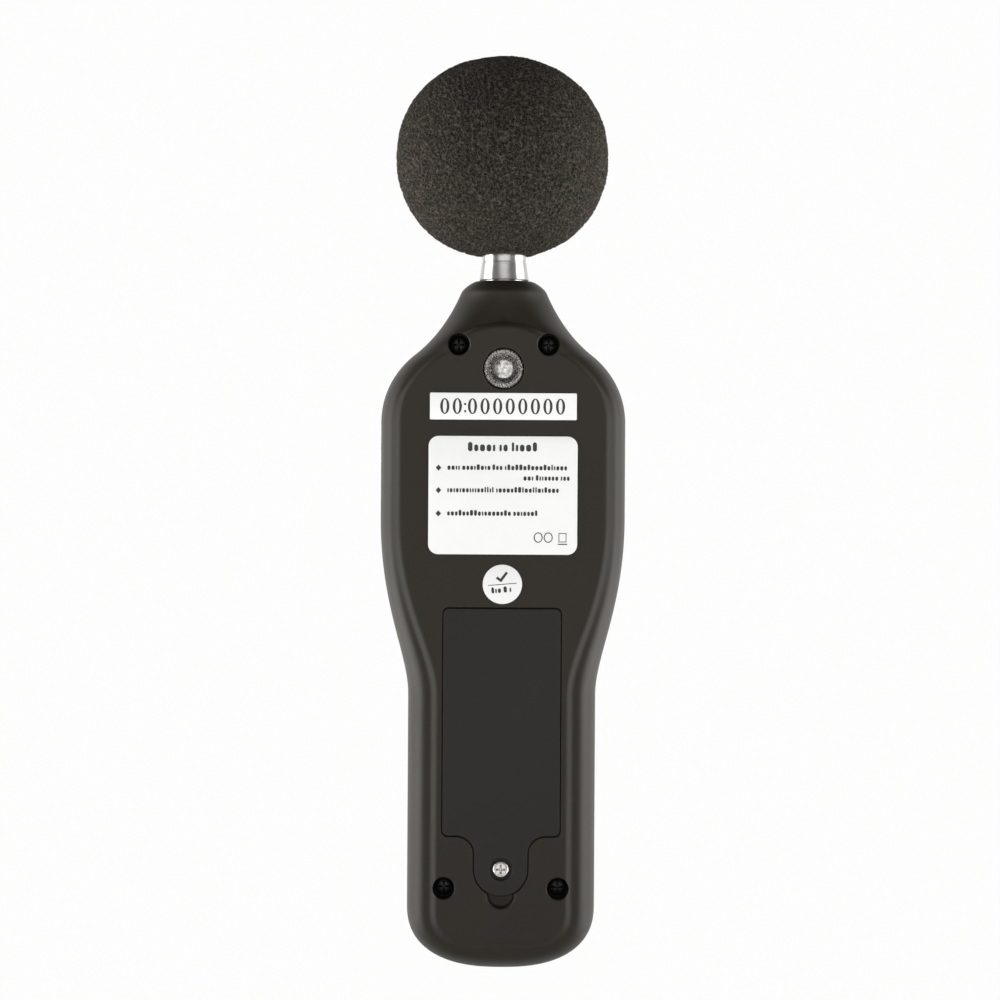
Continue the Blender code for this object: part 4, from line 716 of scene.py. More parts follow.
painted_mouth_shade = bush.blend(glint, (0.012, 0.011, 0.010), (0.55, 0.52, 0.49))
painted_bore_light = bush.blend(swirl, (0.55, 0.53, 0.50), (0.98, 0.96, 0.93))
tone = bush.blend(on_floor, bush.blend(in_mouth, painted_rim_glints, painted_mouth_shade), painted_bore_light)
bush.vary(Base_Color=tone, Roughness=glint * 0.15 + 0.20).bump(glint * (1 - on_floor * 0.9), 0.00013)
place(insert, bush, "case", "nickel_plate", "tripod_insert")


# The battery cover: a plate moulded in a slightly smoother black than the case. Two feet at
# its top hook under the case, and the tongue at its foot is held by one screw.
FOOT_HALF, FOOT_THICKNESS, FOOT_REACH, FOOT_TOP_Y = 0.0022, 0.0011, 0.0030, -WALL - GAP
COVER_RECESS_Y = -0.0012
cover = stack("cover", cover_outline, rounded_levels(-COVER_THICKNESS, 0.0, 0.00028))
feet = []
for x in (-FOOT_X, FOOT_X):
    low, right = (x - FOOT_HALF, FOOT_TOP_Y - FOOT_THICKNESS, COVER_TOP_Z - 0.0012), x + FOOT_HALF
    feet.append(block("foot", low, (right, FOOT_TOP_Y, COVER_TOP_Z + FOOT_REACH)))
    feet.append(block("root", low, (right, 0.0003 - COVER_THICKNESS, COVER_TOP_Z - 0.0002)))
boolean(cover, "UNION", feet)
recess = [(0, COVER_RECESS_Y), (0.0030, COVER_RECESS_Y), (0.0031, -0.00025), (0.0036, 0.00025), (0, 0.0003)]
holes = [
    lathe("recess", recess, (0, 0, COVER_SCREW_Z), "Y", 64),
    post("through", 0, COVER_SCREW_Z, 0.0016, -0.005, OUT),
]
boolean(cover, "DIFFERENCE", holes)
COVER_DARK, COVER_LIGHT = (0.0090, 0.0074, 0.0056), (0.0150, 0.0126, 0.0096)
cover_plastic = moulded("cover_plastic", COVER_DARK, COVER_LIGHT, 0.46, 3000, 0.000025)
place(soften(cover), cover_plastic, "battery_cover", "cover_black", "battery_cover")


# The foam pad stuck inside the cover keeps the battery from rattling. It is a black EVA foam
# strip, cut square, pressed a little by the battery, with fine closed cells.
def pillow(name, low, high, crown, steps=(28, 56)):
    """A cut foam block whose two faces swell: height crown * (1 - u^4) * (1 - v^4)."""
    u, v = (np.linspace(-1, 1, n) for n in steps)
    u, v = np.meshgrid(u, v, indexing="ij")
    centre, half = (np.array(low) + high) / 2, (np.array(high) - low) / 2
    rise = (half[1] - crown) + crown * (1 - u**4) * (1 - v**4)
    waves = 0.00004 * np.sin(u * 19 + 3 * v) * np.cos(v * 27)
    top = np.stack([centre[0] + u * half[0], centre[1] + rise + waves, centre[2] + v * half[2]], -1)
    bottom = np.stack([top[..., 0], centre[1] - rise + 0 * waves, top[..., 2]], -1)
    rows, columns = u.shape
    index = np.arange(rows * columns).reshape(rows, columns)
    rim = np.concatenate([index[0], index[1:, -1], index[-1, -2::-1], index[-2:0:-1, 0]])
    under = rim + rows * columns
    wall = np.stack([rim, np.roll(rim, -1), np.roll(under, -1), under], -1).tolist()
    flat = grid_faces(rows, columns)
    faces = flat + (np.array(flat) + rows * columns).tolist() + wall
    return mesh_piece(name, np.concatenate([top.reshape(-1, 3), bottom.reshape(-1, 3)]), faces)


pad = soften(pillow("cover_foam_strip", *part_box("battery_cover_pad"), 0.00015), 50)
pad_foam = Paint("pad_foam", (0.02, 0.02, 0.02), 0.9)
cells = pad_foam.noise(4200, 3.0, 0.6)
pad_foam.vary(Base_Color=pad_foam.blend(cells, (0.012, 0.012, 0.012), (0.05, 0.05, 0.05)))
pad_foam.bump(cells, 0.00008)
place(pad, pad_foam, "battery_cover", "pad_black", "battery_cover_pad")


# The cover's screw stays in the cover: satin zinc-plated steel with a cross recess, its
# plating a little mottled with handling.
zinc = Paint("zinc_plate", (0.62, 0.60, 0.56), 0.30, 1.0)
marks = zinc.noise(1500, 3.0, 0.65)
zinc.vary(
    Base_Color=zinc.blend(marks, (0.42, 0.40, 0.37), (0.82, 0.80, 0.76)),
    Roughness=marks * 0.22 + 0.18,
).bump(marks, 0.00003)
HEAD, SHAFT, RECESS = (0.00225, 0.0012), (0.0013, 0.0051), (0.00135, 0.0003, 0.0009)
piece = screw("cover_screw_cross", (0, COVER_RECESS_Y + GAP, COVER_SCREW_Z), HEAD, SHAFT, RECESS)
place(piece, zinc, "cover_screw", "steel_satin", "cover_screw")


# Labels: white polyester film, printed black and stuck to the flat back. The serial plate has
# nearly square corners and large figures, the ratings plate round ones and small print.
FILM_Y, FILM_TOP_Y, INK = 0.0001, 0.00022, 0.00003
film = Paint("label_film", (0.85, 0.85, 0.845), 0.38, Coat_Weight=0.25, Coat_Roughness=0.2)
fibre = film.noise(1800, 3.0)
soil = film.noise(70, 4.0)
film.vary(
    Base_Color=film.blend(soil * 0.7 + fibre * 0.3, (0.74, 0.74, 0.73), (0.84, 0.84, 0.83)),
    Roughness=soil * 0.12 + 0.32,
).bump(fibre, 0.000008)
ink = Paint("label_ink", (0.012, 0.012, 0.013), 0.45)
grain = ink.noise(5200, 2.0)
ink_tone = ink.blend(grain, (0.008, 0.008, 0.009), (0.03, 0.03, 0.032))
ink.vary(Base_Color=ink_tone, Roughness=grain * 0.2 + 0.35)


def printed(name, body, y, shapes, paint=ink, slot_name="label_white", thickness=INK):
    """Ink on a face at y, as one thin solid: each shape is a closed ring of (x, z), or two."""
    points, faces, count = [], [], 0
    away = 1 if y > -HALF_DEPTH else -1
    for shape in shapes:
        rings = shape if isinstance(shape, tuple) else (shape,)
        size = len(rings[0])
        for level in (y - away * 0.00001, y + away * thickness):
            points += [np.insert(ring, 1, level, axis=1) for ring in rings]
        index = np.arange(size) + count
        after = np.roll(index, -1)
        strips = [(0, 1), (2, 3), (0, 2), (1, 3)] if len(rings) == 2 else [(0, 1)]
        if len(rings) == 1:
            faces += [index.tolist(), (index + size).tolist()]
        for a, b in np.array(strips) * size:
            faces += np.stack([index + a, after + a, after + b, index + b], -1).tolist()
        count += 2 * len(rings) * size
    return place(mesh_piece(name, np.concatenate(points), faces), paint, body, slot_name)


def moved(shapes, change):
    """Shapes with a change made to each of their rings."""
    changed = []
    for shape in shapes:
        rings = tuple(change(ring) for ring in (shape if isinstance(shape, tuple) else (shape,)))
        changed.append(rings if len(rings) > 1 else rings[0])
    return changed


def oval(x, z, wide, high, steps=40):
    """A closed ellipse of (x, z) by its half width and half height."""
    t = np.linspace(0, 2 * np.pi, steps, endpoint=False)
    return np.column_stack([x + wide * np.cos(t), z + high * np.sin(t)])


def bar(x0, x1, z0, z1, corner=0.0):
    """A closed rectangle of (x, z), its corners cut by corner."""
    c = min(corner, abs(x1 - x0) / 2.5, abs(z1 - z0) / 2.5)
    left, right = min(x0, x1), max(x0, x1)
    ring = [(left + c, z0), (right - c, z0), (right, z0 + c), (right, z1 - c)]
    ring += [(right - c, z1), (left + c, z1), (left, z1 - c), (left, z0 + c)]
    return np.array(ring)


def nought(x, z, wide, high):
    """A figure nought with thick sides and thin top and bottom: one ellipse within another."""
    return oval(x, z, wide, high), oval(x, z, wide * 0.44, high * 0.86)


def line_of_print(x0, x1, z, height, seed):
    """A line of plain little marks from x0 to x1 that stands for a line of small print."""
    rng = np.random.default_rng(seed)
    direction = 1 if x1 > x0 else -1
    marks, x = [], x0
    while (x1 - x) * direction > height * 0.5:
        wide = min(height * rng.choice([0.34, 0.60, 0.66, 0.72]), abs(x1 - x))
        top = z + height * rng.choice([0.5, 0.5, 0.5, 0.85])
        marks.append(bar(x, x + direction * wide, z - height / 2, top, height * 0.2))
        x += direction * (wide + height * (0.26 if rng.random() < 0.86 else 0.62))
    return marks


def label(name, node, corner):
    """A film label that fills its node's box, its corners round and its edge a little soft."""
    low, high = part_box(node)
    flat = slab((low.x, low.z), (high.x, high.z), corner, 10)
    piece = soften(stack(name, flat, rounded_levels(FILM_Y, FILM_TOP_Y, 0.00004, 2)))
    return place(piece, film, "case", "label_white", node)


label("serial_film", "serial_label", 0.0003)
serial = middle("serial_label")
FIGURE = (0.00128, 0.00222)
figures = [nought(0.0164 - i * 0.0035, serial.z, *FIGURE) for i in (0, 1)]
figures += [oval(0.0107, serial.z + dz, 0.00032, 0.00032) for dz in (-0.0014, 0.0006)]
figures += [nought(0.00865 - i * 0.00352, serial.z, *FIGURE) for i in range(8)]
printed("serial_figures", "case", FILM_TOP_Y, figures)

label("ratings_film", "rating_label", 0.0028)
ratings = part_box("rating_label")[1]
LEFT, TOP = ratings.x, ratings.z
PRINT = 0.00118
small_print = line_of_print(LEFT - 0.0110, LEFT - 0.0312, TOP - 0.0033, 0.0019, 5)
lines = ((0.0053, 0.0173, 0.0089), (0.0179, 0.0396, 0.0089), (0.0266, 0.0396, 0.0118))
lines += ((0.0053, 0.0366, 0.0152), (0.0053, 0.0305, 0.0217))
for i, (start, end, drop) in enumerate(lines):
    small_print += line_of_print(LEFT - start, LEFT - end, TOP - drop, PRINT, 20 + i)
for drop in (0.0089, 0.0152, 0.0217):
    small_print.append(oval(LEFT - 0.0028, TOP - drop, 0.00078, 0.00088, 4))
for x in (LEFT - 0.0308, LEFT - 0.0336):
    rings = [oval(x, TOP - 0.0283, *half) for half in ((0.00125, 0.00145), (0.00098, 0.00118))]
    small_print.append(tuple(rings))
outline = bar(LEFT - 0.0365, LEFT - 0.0387, TOP - 0.0296, TOP - 0.0270)
small_print.append((outline, bar(LEFT - 0.0367, LEFT - 0.0385, TOP - 0.0294, TOP - 0.0272)))
small_print.append(bar(LEFT - 0.0363, LEFT - 0.0389, TOP - 0.0303, TOP - 0.0300))
printed("ratings_print", "case", FILM_TOP_Y, small_print)


# The round inspection sticker is thin paper, stuck by hand a few degrees askew, with a rule
# across it, a tick above and a short line of marks below.
at = middle("inspection_sticker")
paper = disc(at.x, at.z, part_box("inspection_sticker")[1].x, 96)
sticker = soften(stack("sticker_paper", paper, rounded_levels(FILM_Y, FILM_TOP_Y, 0.00004, 2)))
place(sticker, film, "case", "label_white", "inspection_sticker")
ASKEW = math.radians(-5)


def turned_about(ring, centre, turn):
    """A closed ring of (x, z), turned about a point."""
    spin = np.array([(math.cos(turn), math.sin(turn)), (-math.sin(turn), math.cos(turn))])
    return (ring - centre) @ spin + centre


tick = [(0.0017, 0.0018), (0.0012, 0.0023), (0.0004, 0.0016)]
tick += [(-0.0013, 0.0035), (-0.0018, 0.0030), (0.0003, 0.0006)]
centre = np.array([at.x, at.z])
sticker_print = [np.array(tick) + centre, bar(-0.0040, 0.0040, at.z - 0.0001, at.z + 0.0001)]
sticker_print += line_of_print(0.0032, -0.0032, at.z - 0.0017, 0.00125, 9)
sticker_print = moved(sticker_print, lambda ring: turned_about(ring, centre, ASKEW))
printed("sticker_print", "case", FILM_TOP_Y, sticker_print)


# Under the cover lies a nine-volt block battery in a printed metal sleeve, with a press-stud
# snap on its two terminals, moulded in soft black vinyl, and its two thin leads.
def dress(paint, *nodes):
    """Puts a finish on solids that are kept as they are, and shades them smooth."""
    for node in nodes:
        soften(NODES[node], 30)
        paint.on(NODES[node])


def speckled(name, low, high, scale, roughness, metallic=0.0, depth=0.00002, **extra):
    """A finish mottled between two colours, with its roughness and a fine bump following."""
    paint = Paint(name, low, roughness, metallic, **extra)
    spots = paint.noise(scale, 3.0, 0.6)
    paint.vary(Base_Color=paint.blend(spots, low, high), Roughness=roughness - 0.08 + spots * 0.16)
    return paint.bump(spots, depth)


def stripes(paint, axis, pitch, width):
    """A term that is 1 on bars across an axis, pitch metres apart, and 0 between them."""
    share = paint.axis(axis) * (1 / pitch)
    share = share.maths("FRACT", share)
    return share.maths("LESS_THAN", share, width)


sleeve = Paint("battery_sleeve", (0.03, 0.05, 0.14), 0.32, 0.4, Coat_Weight=0.4)
band = stripes(sleeve, "Z", 0.0464, 0.32)
scuffs = sleeve.noise(900, 3.0)
sleeve.vary(
    Base_Color=sleeve.blend(band * 0.85 + scuffs * 0.15, (0.02, 0.035, 0.11), (0.42, 0.42, 0.40)),
    Roughness=scuffs * 0.25 + 0.2,
).bump(scuffs, 0.00001)
dress(sleeve, "battery")
dress(zinc, "battery_positive_terminal", "battery_negative_terminal")
dress(speckled("snap_vinyl", (0.012, 0.012, 0.012), (0.03, 0.03, 0.03), 1200, 0.5), "battery_snap")
dress(speckled("lead_red", (0.36, 0.012, 0.010), (0.50, 0.03, 0.02), 600, 0.4), "battery_lead_red")
dress(speckled("lead_black", (0.012, 0.012, 0.012), (0.04, 0.04, 0.04), 600, 0.4), "battery_lead_black")


# The main board: green solder mask over woven glass fibre and copper tracks, held by four
# steel screws. It carries black epoxy chips, a crystal in its can, and a nylon connector for
# the grey lead up to the microphone.
mask = Paint("solder_mask", (0.02, 0.12, 0.05), 0.35, Coat_Weight=0.3)
weave = stripes(mask, "X", 0.00045, 0.5) * 0.5 + stripes(mask, "Z", 0.00045, 0.5) * 0.5
tracks = mask.noise(260, 1.0)
lines = mask.ramp(tracks, 0.46, 0.48) - mask.ramp(tracks, 0.52, 0.54)
mask.vary(Base_Color=mask.blend(lines * 0.7 + weave * 0.2, (0.012, 0.085, 0.035), (0.05, 0.22, 0.09)))
mask.bump(lines, 0.00003)
dress(mask, "main_board")
dress(zinc, *BOARD_SCREWS, "crystal")
chips = speckled("chip_epoxy", (0.010, 0.010, 0.011), (0.024, 0.024, 0.025), 3500, 0.5)
dress(chips, "processor_chip", "filter_chip", "amplifier_chip")
dress(speckled("connector_nylon", (0.60, 0.58, 0.52), (0.72, 0.70, 0.65), 900, 0.45), "lead_connector")
dress(speckled("screened_lead", (0.10, 0.10, 0.105), (0.16, 0.16, 0.165), 1500, 0.5), "microphone_lead")


# The display: a liquid-crystal glass in a grey frame, lit from behind, with its figures and
# bar scale printed by the segments themselves, under a clear hard-coated acrylic window.
glass = speckled("lcd_glass", (0.30, 0.34, 0.26), (0.34, 0.38, 0.30), 150, 0.22, 0.0, 0.000005)
dress(glass, "lcd_panel")
dress(speckled("lcd_frame_plastic", (0.30, 0.30, 0.29), (0.38, 0.38, 0.37), 1500, 0.5), "lcd_frame")
dress(speckled("light_guide", (0.78, 0.80, 0.78), (0.84, 0.85, 0.84), 400, 0.3), "backlight_panel")
strip = Paint("contact_rubber", (0.5, 0.25, 0.3), 0.6)
layers = stripes(strip, "X", 0.0005, 0.5)
strip.vary(Base_Color=strip.blend(layers, (0.55, 0.26, 0.32), (0.05, 0.05, 0.05)))
strip.bump(layers, 0.00002)
dress(strip, "contact_strip")
clear = Paint("window_acrylic", (0.02, 0.022, 0.022), 0.04, Alpha=0.16, Coat_Weight=1.0, Coat_Roughness=0.02)
haze = clear.noise(60, 2.0)
clear.vary(Roughness=haze * 0.05 + 0.03, Alpha=haze * 0.05 + 0.14)
pane_levels = [(WINDOW_LOW.y, -0.0003), (WINDOW_LOW.y + 0.0003, 0.0), (WINDOW_HIGH.y, 0.0)]
pane = soften(stack("window_pane", window, pane_levels))
place(pane, clear, "case", "window_clear", "display_window")
border = speckled("window_border", (0.015, 0.015, 0.016), (0.03, 0.03, 0.032), 900, 0.35)
frame_print = [(window(-0.0005), window(-0.0040))]
printed("window_surround", "case", WINDOW_HIGH.y + 0.00006, frame_print, border, "window_clear", 0.00004)

SEGMENTS = {"0": "abcdef", "5": "acdfg", "7": "abc", "8": "abcdefg"}


def stroke(start, end, thick):
    """One segment along its own length, pointed at both ends: (along, across) corners."""
    t = thick / 2
    return np.array([(start, 0), (start + t, t), (end - t, t), (end, 0), (end - t, -t), (start + t, -t)])


def figure(value, x, z, high):
    """A seven-segment figure seen from the front: x grows to the right of its left edge."""
    wide, thick, gap = high * 0.5, high * 0.11, high * 0.02
    half, lean, cut = high / 2, 0.08, thick * 0.5 + gap
    shapes = []
    for segment in SEGMENTS[value]:
        if segment in "adg":
            level = {"a": high - thick / 2, "g": half, "d": thick / 2}[segment]
            ring = stroke(cut, wide - cut, thick) + (0, level)
        else:
            side = wide - thick / 2 if segment in "bc" else thick / 2
            low = half if segment in "bf" else 0.0
            ring = stroke(low + cut, low + half - cut, thick)[:, ::-1] + (side, 0)
        shapes.append(np.column_stack([x + ring[:, 0] + lean * ring[:, 1], z + ring[:, 1]]))
    return shapes


reading = []
for i, value in enumerate("057"):
    reading += figure(value, -0.0150 + i * 0.0092, -0.0285, 0.0125)
reading.append(oval(0.0125, -0.0281, 0.0006, 0.0006, 16))
reading += figure("8", 0.0138, -0.0285, 0.0085)
scale = enumerate(np.linspace(-0.0180, 0.0172, 31))
reading += [bar(x, x + 0.0006, -0.0352, -0.0330 + 0.0006 * (i % 5 == 0)) for i, x in scale]
reading.append(bar(-0.0180, 0.0040, -0.0370, -0.0358))
printed("display_figures", "case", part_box("lcd_panel")[0].y, reading, ink, "lcd_glass")


# Six silicone keys, moulded dark grey with a dished top, stand through the front. Each has a
# plain sign printed on it, and they share one mat whose domes push them back.
key_silicone = moulded("key_silicone", (0.105, 0.105, 0.11), (0.15, 0.15, 0.155), 0.62, 2200, 0.00002)
dress(speckled("mat_silicone", (0.16, 0.16, 0.17), (0.22, 0.22, 0.23), 1800, 0.6), "keypad_mat")
key_white = speckled("key_print", (0.62, 0.62, 0.60), (0.76, 0.76, 0.74), 2500, 0.5)
ring = (oval(0, 0, 0.0016, 0.0016), oval(0, 0, 0.0012, 0.0012))
ray = bar(-0.00018, 0.00018, 0.0012, 0.0019)
rays = [turned_about(ray, np.zeros(2), k * math.pi / 4) for k in range(8)]
frame_sign = (bar(-0.0014, 0.0014, -0.0011, 0.0011), bar(-0.0010, 0.0010, -0.0007, 0.0007))
arrow = np.array([(-0.0013, -0.0009), (0.0013, -0.0009), (0.0, 0.0013)]) + (0, 0.0004)
steps = zip((-0.0014, -0.0006, 0.0002, 0.0010), (-0.0004, 0.0002, 0.0008, 0.0014))
rules = ((0.0016, 0.0009), (0.0011, 0.0), (0.0006, -0.0009))
SIGNS = {
    "power": [ring, bar(-0.0002, 0.0002, 0.0004, 0.0022)],
    "backlight": [oval(0, 0, 0.0008, 0.0008)] + rays,
    "hold": [frame_sign],
    "max_min": [arrow, bar(-0.0013, 0.0013, -0.0014, -0.0010)],
    "response": [bar(x, x + 0.0004, -0.0012, top) for x, top in steps],
    "weighting": [bar(-half, half, level, level + 0.0003) for half, level in rules],
}
KEY_EDGE, KEY_DISH, SIGN_DEPTH = 0.0005, 0.00018, 0.00016
for key in KEYS:
    low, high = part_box(f"{key}_button")
    quarter = np.linspace(0, 1, 5)[::-1] * np.pi / 2
    shares = (0.35, 0.6, 0.8)
    dish = [(low.y + KEY_DISH * (1 - k * k), -0.0035 * (1 - 0.86 * k) - KEY_EDGE) for k in shares]
    rim = [(low.y + KEY_EDGE * (1 - math.sin(a)), -KEY_EDGE * (1 - math.cos(a))) for a in quarter]
    skirt = [(low.y + KEY_EDGE + 0.0001, 0.0), (high.y - 0.0010, 0.0)]
    skirt += [(high.y - 0.0010, 0.0008), (high.y, 0.0008)]
    piece = soften(stack(f"{key}_key", key_outline(key), dish + rim + skirt), 40)
    place(piece, key_silicone, f"{key}_button", "key_grey", f"{key}_button")
    at = middle(f"{key}_button")
    sign = moved(SIGNS[key], lambda ring: ring + (at.x, at.z))
    level = low.y + SIGN_DEPTH
    printed(f"{key}_sign", f"{key}_button", level, sign, key_white, "key_grey", 0.00006)


# In one side are an output jack and a power jack, each moulded black in one with its sleeve,
# and a line of plain white marks. In the other is a blue trimmer, whose nickel-plated rotor
# sets the level.
black_nylon = moulded("jack_nylon", (0.016, 0.016, 0.017), (0.026, 0.026, 0.028), 0.40, 2500, 0.00001)
SLEEVE_RADIUS, JACK_BORE, JACK_EDGE, JACK_DEPTH = 0.0027, 0.0018, 0.0003, 0.0095
for name in SOCKETS:
    low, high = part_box(name)
    at = middle(name)
    mouth, floor = high.x, high.x - JACK_DEPTH
    profile = [
        (0, floor), (JACK_BORE, floor), (JACK_BORE, mouth - JACK_EDGE), (JACK_BORE + JACK_EDGE, mouth),
        (SLEEVE_RADIUS - JACK_EDGE, mouth), (SLEEVE_RADIUS, mouth - JACK_EDGE),
        (SLEEVE_RADIUS, mouth - 0.0060), (0, mouth - 0.0115),
    ]
    jack = lathe(f"{name}_sleeve", profile, (0, at.y, at.z), "X", 64)
    shell = block("shell", (low.x, low.y, low.z), (high.x - 0.0034, high.y, high.z))
    bore = [(0, floor - 0.0004), (JACK_BORE, floor - 0.0004), (JACK_BORE, mouth), (0, mouth)]
    boolean(shell, "DIFFERENCE", [lathe("hole", bore, (0, at.y, at.z), "X", 64)])
    boolean(jack, "UNION", [shell])
    place(soften(jack, 40), black_nylon, "case", "socket_black", name)
nickel = Paint("nickel_plate", (0.60, 0.58, 0.54), 0.30, 1.0)
scratches = nickel.noise(5200, 2.0, 0.7)
tarnish = nickel.noise(700, 3.0)
nickel.vary(
    Base_Color=nickel.blend(tarnish, (0.36, 0.345, 0.32), (0.74, 0.72, 0.68)),
    Roughness=scratches * 0.25 + 0.16,
).bump(scratches, 0.00003)
dress(speckled("trimmer_blue", (0.02, 0.07, 0.32), (0.04, 0.11, 0.42), 1600, 0.4), "trimmer_body")
dress(nickel, "trimmer_rotor")


def shoulder_inset(level):
    """How far the back half's side lies in from its widest, at levels y beside the head."""
    share = (level + HALF_DEPTH) / (HALF_DEPTH - PANEL_STEP)
    return REAR_SHOULDER[0] * (1 - (1 - np.clip(share, 0, 1) ** REAR_POWER) ** (1 / REAR_POWER))


def on_side(piece):
    """Lays flat print, drawn as (y, z) on a level face, round the back half's side wall."""
    co = np.empty(len(piece.data.vertices) * 3)
    piece.data.vertices.foreach_get("co", co)
    level, raised, z = co.reshape(-1, 3).T
    laid = np.column_stack([HEAD_HALF - shoulder_inset(level) + raised, level, z])
    piece.data.vertices.foreach_set("co", laid.ravel())
    piece.data.update()
    return piece


MARK_PITCH, MARKS_TOP_Z, MARKS_END_Z, MARKS_SPACE_Z = 0.00138, -0.0158, -0.0352, -0.0218
side_marks, rng, z = [], np.random.default_rng(4), MARKS_TOP_Z
while z > MARKS_END_Z:
    if abs(z - MARKS_SPACE_Z) > 0.0008:
        foot = -0.0140 + rng.choice([0.0, 0.0004])
        side_marks.append(bar(foot, foot + 0.0019, z - 0.0010, z, 0.0002))
    z -= MARK_PITCH
on_side(printed("side_marks", "case", 0.00002, side_marks, key_white))


# The microphone stands on the case's axis: a turned and polished steel neck, a half-inch tube,
# a nickel-plated capsule and a slotted protection grid that screws onto it.
AXIS = (0, SEAM_Y, 0)
neck_low, neck_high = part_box("microphone_neck")
neck_base, neck_top = front_high.z + GAP, neck_high.z
BASE_RADIUS, TOP_RADIUS, STEM_RADIUS, FLANGE_RADIUS, NECK_BORE = 0.00705, 0.0062, 0.0060, 0.0086, 0.0040
groove = neck_top - 0.0024
profile = [
    (NECK_BORE, neck_top), (TOP_RADIUS - 0.0002, neck_top), (TOP_RADIUS, neck_top - 0.0002),
    (TOP_RADIUS, groove + 0.0001), (TOP_RADIUS - 0.0001, groove), (TOP_RADIUS - 0.0001, groove - 0.0001),
    (TOP_RADIUS + 0.0001, groove - 0.0002), (BASE_RADIUS - 0.0001, neck_base + 0.0006),
    (BASE_RADIUS, neck_base + 0.0002), (BASE_RADIUS - 0.0002, neck_base), (STEM_RADIUS, neck_base),
    (STEM_RADIUS, neck_low.z + 0.0022), (FLANGE_RADIUS, neck_low.z + 0.0022), (FLANGE_RADIUS, neck_low.z),
    (NECK_BORE, neck_low.z),
]
neck = soften(lathe("neck_turned", profile, AXIS, sides=128), 30)
polished = Paint("polished_steel", (0.66, 0.65, 0.63), 0.16, 1.0)
turned = polished.add("ShaderNodeMapping", {}, {0: polished.where, 3: (40, 40, 9000)})
rings = polished.add("ShaderNodeTexNoise", {}, {"Vector": turned, "Scale": 1.0, "Detail": 2.0})
cloud = polished.noise(350, 3.0)
polished.vary(
    Base_Color=polished.blend(cloud, (0.38, 0.37, 0.36), (0.62, 0.61, 0.59)),
    Roughness=rings * 0.12 + cloud * 0.10 + 0.08,
).bump(rings, 0.000012)
place(neck, polished, "case", "steel_bright", "microphone_neck")

MIC_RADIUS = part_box("microphone_tube")[1].x
tube_low, tube_high = (v.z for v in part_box("microphone_tube"))
profile = [(0.0050, tube_low), (MIC_RADIUS - 0.0002, tube_low), (MIC_RADIUS, tube_low + 0.0002)]
for z in (tube_low + 0.0030, tube_high - 0.0040):
    groove = MIC_RADIUS - 0.00025
    profile += [(MIC_RADIUS, z), (groove, z + 0.0002), (groove, z + 0.0005), (MIC_RADIUS, z + 0.0007)]
profile += [(MIC_RADIUS, tube_high - 0.0002), (MIC_RADIUS - 0.0002, tube_high), (0.0050, tube_high)]
tube = soften(lathe("microphone_barrel", profile, AXIS, sides=128), 30)
place(tube, polished, "case", "steel_satin", "microphone_tube")

low, high = (v.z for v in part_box("microphone_capsule"))
profile = [(0, low), (MIC_RADIUS - 0.0002, low), (MIC_RADIUS, low + 0.0002), (MIC_RADIUS, high - 0.0002)]
profile += [(MIC_RADIUS - 0.0002, high), (0.0050, high), (0.0049, high - 0.0001), (0, high - 0.0001)]
capsule = soften(lathe("capsule_turned", profile, AXIS, sides=128), 30)
place(capsule, nickel, "case", "nickel_plate", "microphone_capsule")

low, high = (v.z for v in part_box("microphone_grid"))
inner = MIC_RADIUS - 0.0006
profile = [(0, high), (inner - 0.0002, high), (inner, high - 0.0001), (MIC_RADIUS - 0.0001, high - 0.0005)]
profile += [(MIC_RADIUS, high - 0.0007), (MIC_RADIUS, low), (inner, low)]
profile += [(inner, high - 0.0008), (0, high - 0.0008)]
grid = lathe("grid_turned", profile, AXIS, sides=128)
slots = []
under, over = high - 0.002, high + 0.001
for ring, count, radius in ((0.0, 1, 0.0005), (0.0018, 6, 0.00045), (0.0036, 12, 0.00045)):
    for k in range(count):
        turn = 2 * math.pi * k / count
        at = (ring * math.cos(turn), SEAM_Y + ring * math.sin(turn), 0)
        slots.append(lathe("slot", [(0, under), (radius, under), (radius, over), (0, over)], at, sides=16))
boolean(grid, "DIFFERENCE", slots)
place(soften(grid, 30), nickel, "case", "nickel_plate", "microphone_grid")


# The windscreen: a ball of open-cell polyurethane foam, charcoal black, ground to shape and
# pulled over the microphone. Its skin is cut cells, and it sits a little to one side.
ball_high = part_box("windscreen")[1]
BALL_HALF, BALL_RADIUS = 0.0289, ball_high.x + 0.0003
BALL_Z, BALL_ASIDE, BALL_POWER = ball_high.z - 0.0290, 0.0007, 2.1
BORE_RADIUS, BORE_TOP_Z = MIC_RADIUS + GAP, high + GAP
BALL_MOUTH, MOUTH_RISE = BORE_RADIUS + 0.0014, 0.0022
BALL_SIDES, BALL_ROWS, ROLL_ROWS, BORE_ROWS = 640, 300, 8, 10
CELL, FINE_CELL = 0.0009, 0.6
CELL_DEPTH, FINE_DEPTH, LUMP_HEIGHT, SCATTER = 0.00055, 0.00022, 0.00012, 0.00030


def foam_cells(points, size):
    """How far each point is from the nearest cell's middle, in cells, 0 at a middle.

    One middle lies at a scattered place in each cube of a lattice of that size, and the
    nearest is looked for in the point's own cube and the 26 round it.
    """
    scaled = points / size
    cube = np.floor(scaled)
    nearest = np.full(len(points), 9.0)
    for step in np.ndindex(3, 3, 3):
        corner = cube + np.array(step) - 1
        seeds = corner @ np.array([(127.1, 269.5, 113.5), (311.7, 183.3, 271.9), (74.7, 246.1, 124.6)])
        seed = corner + np.mod(np.sin(seeds) * 43758.5453, 1)
        nearest = np.minimum(nearest, np.linalg.norm(scaled - seed, axis=1))
    return np.clip(nearest, 0, 1)


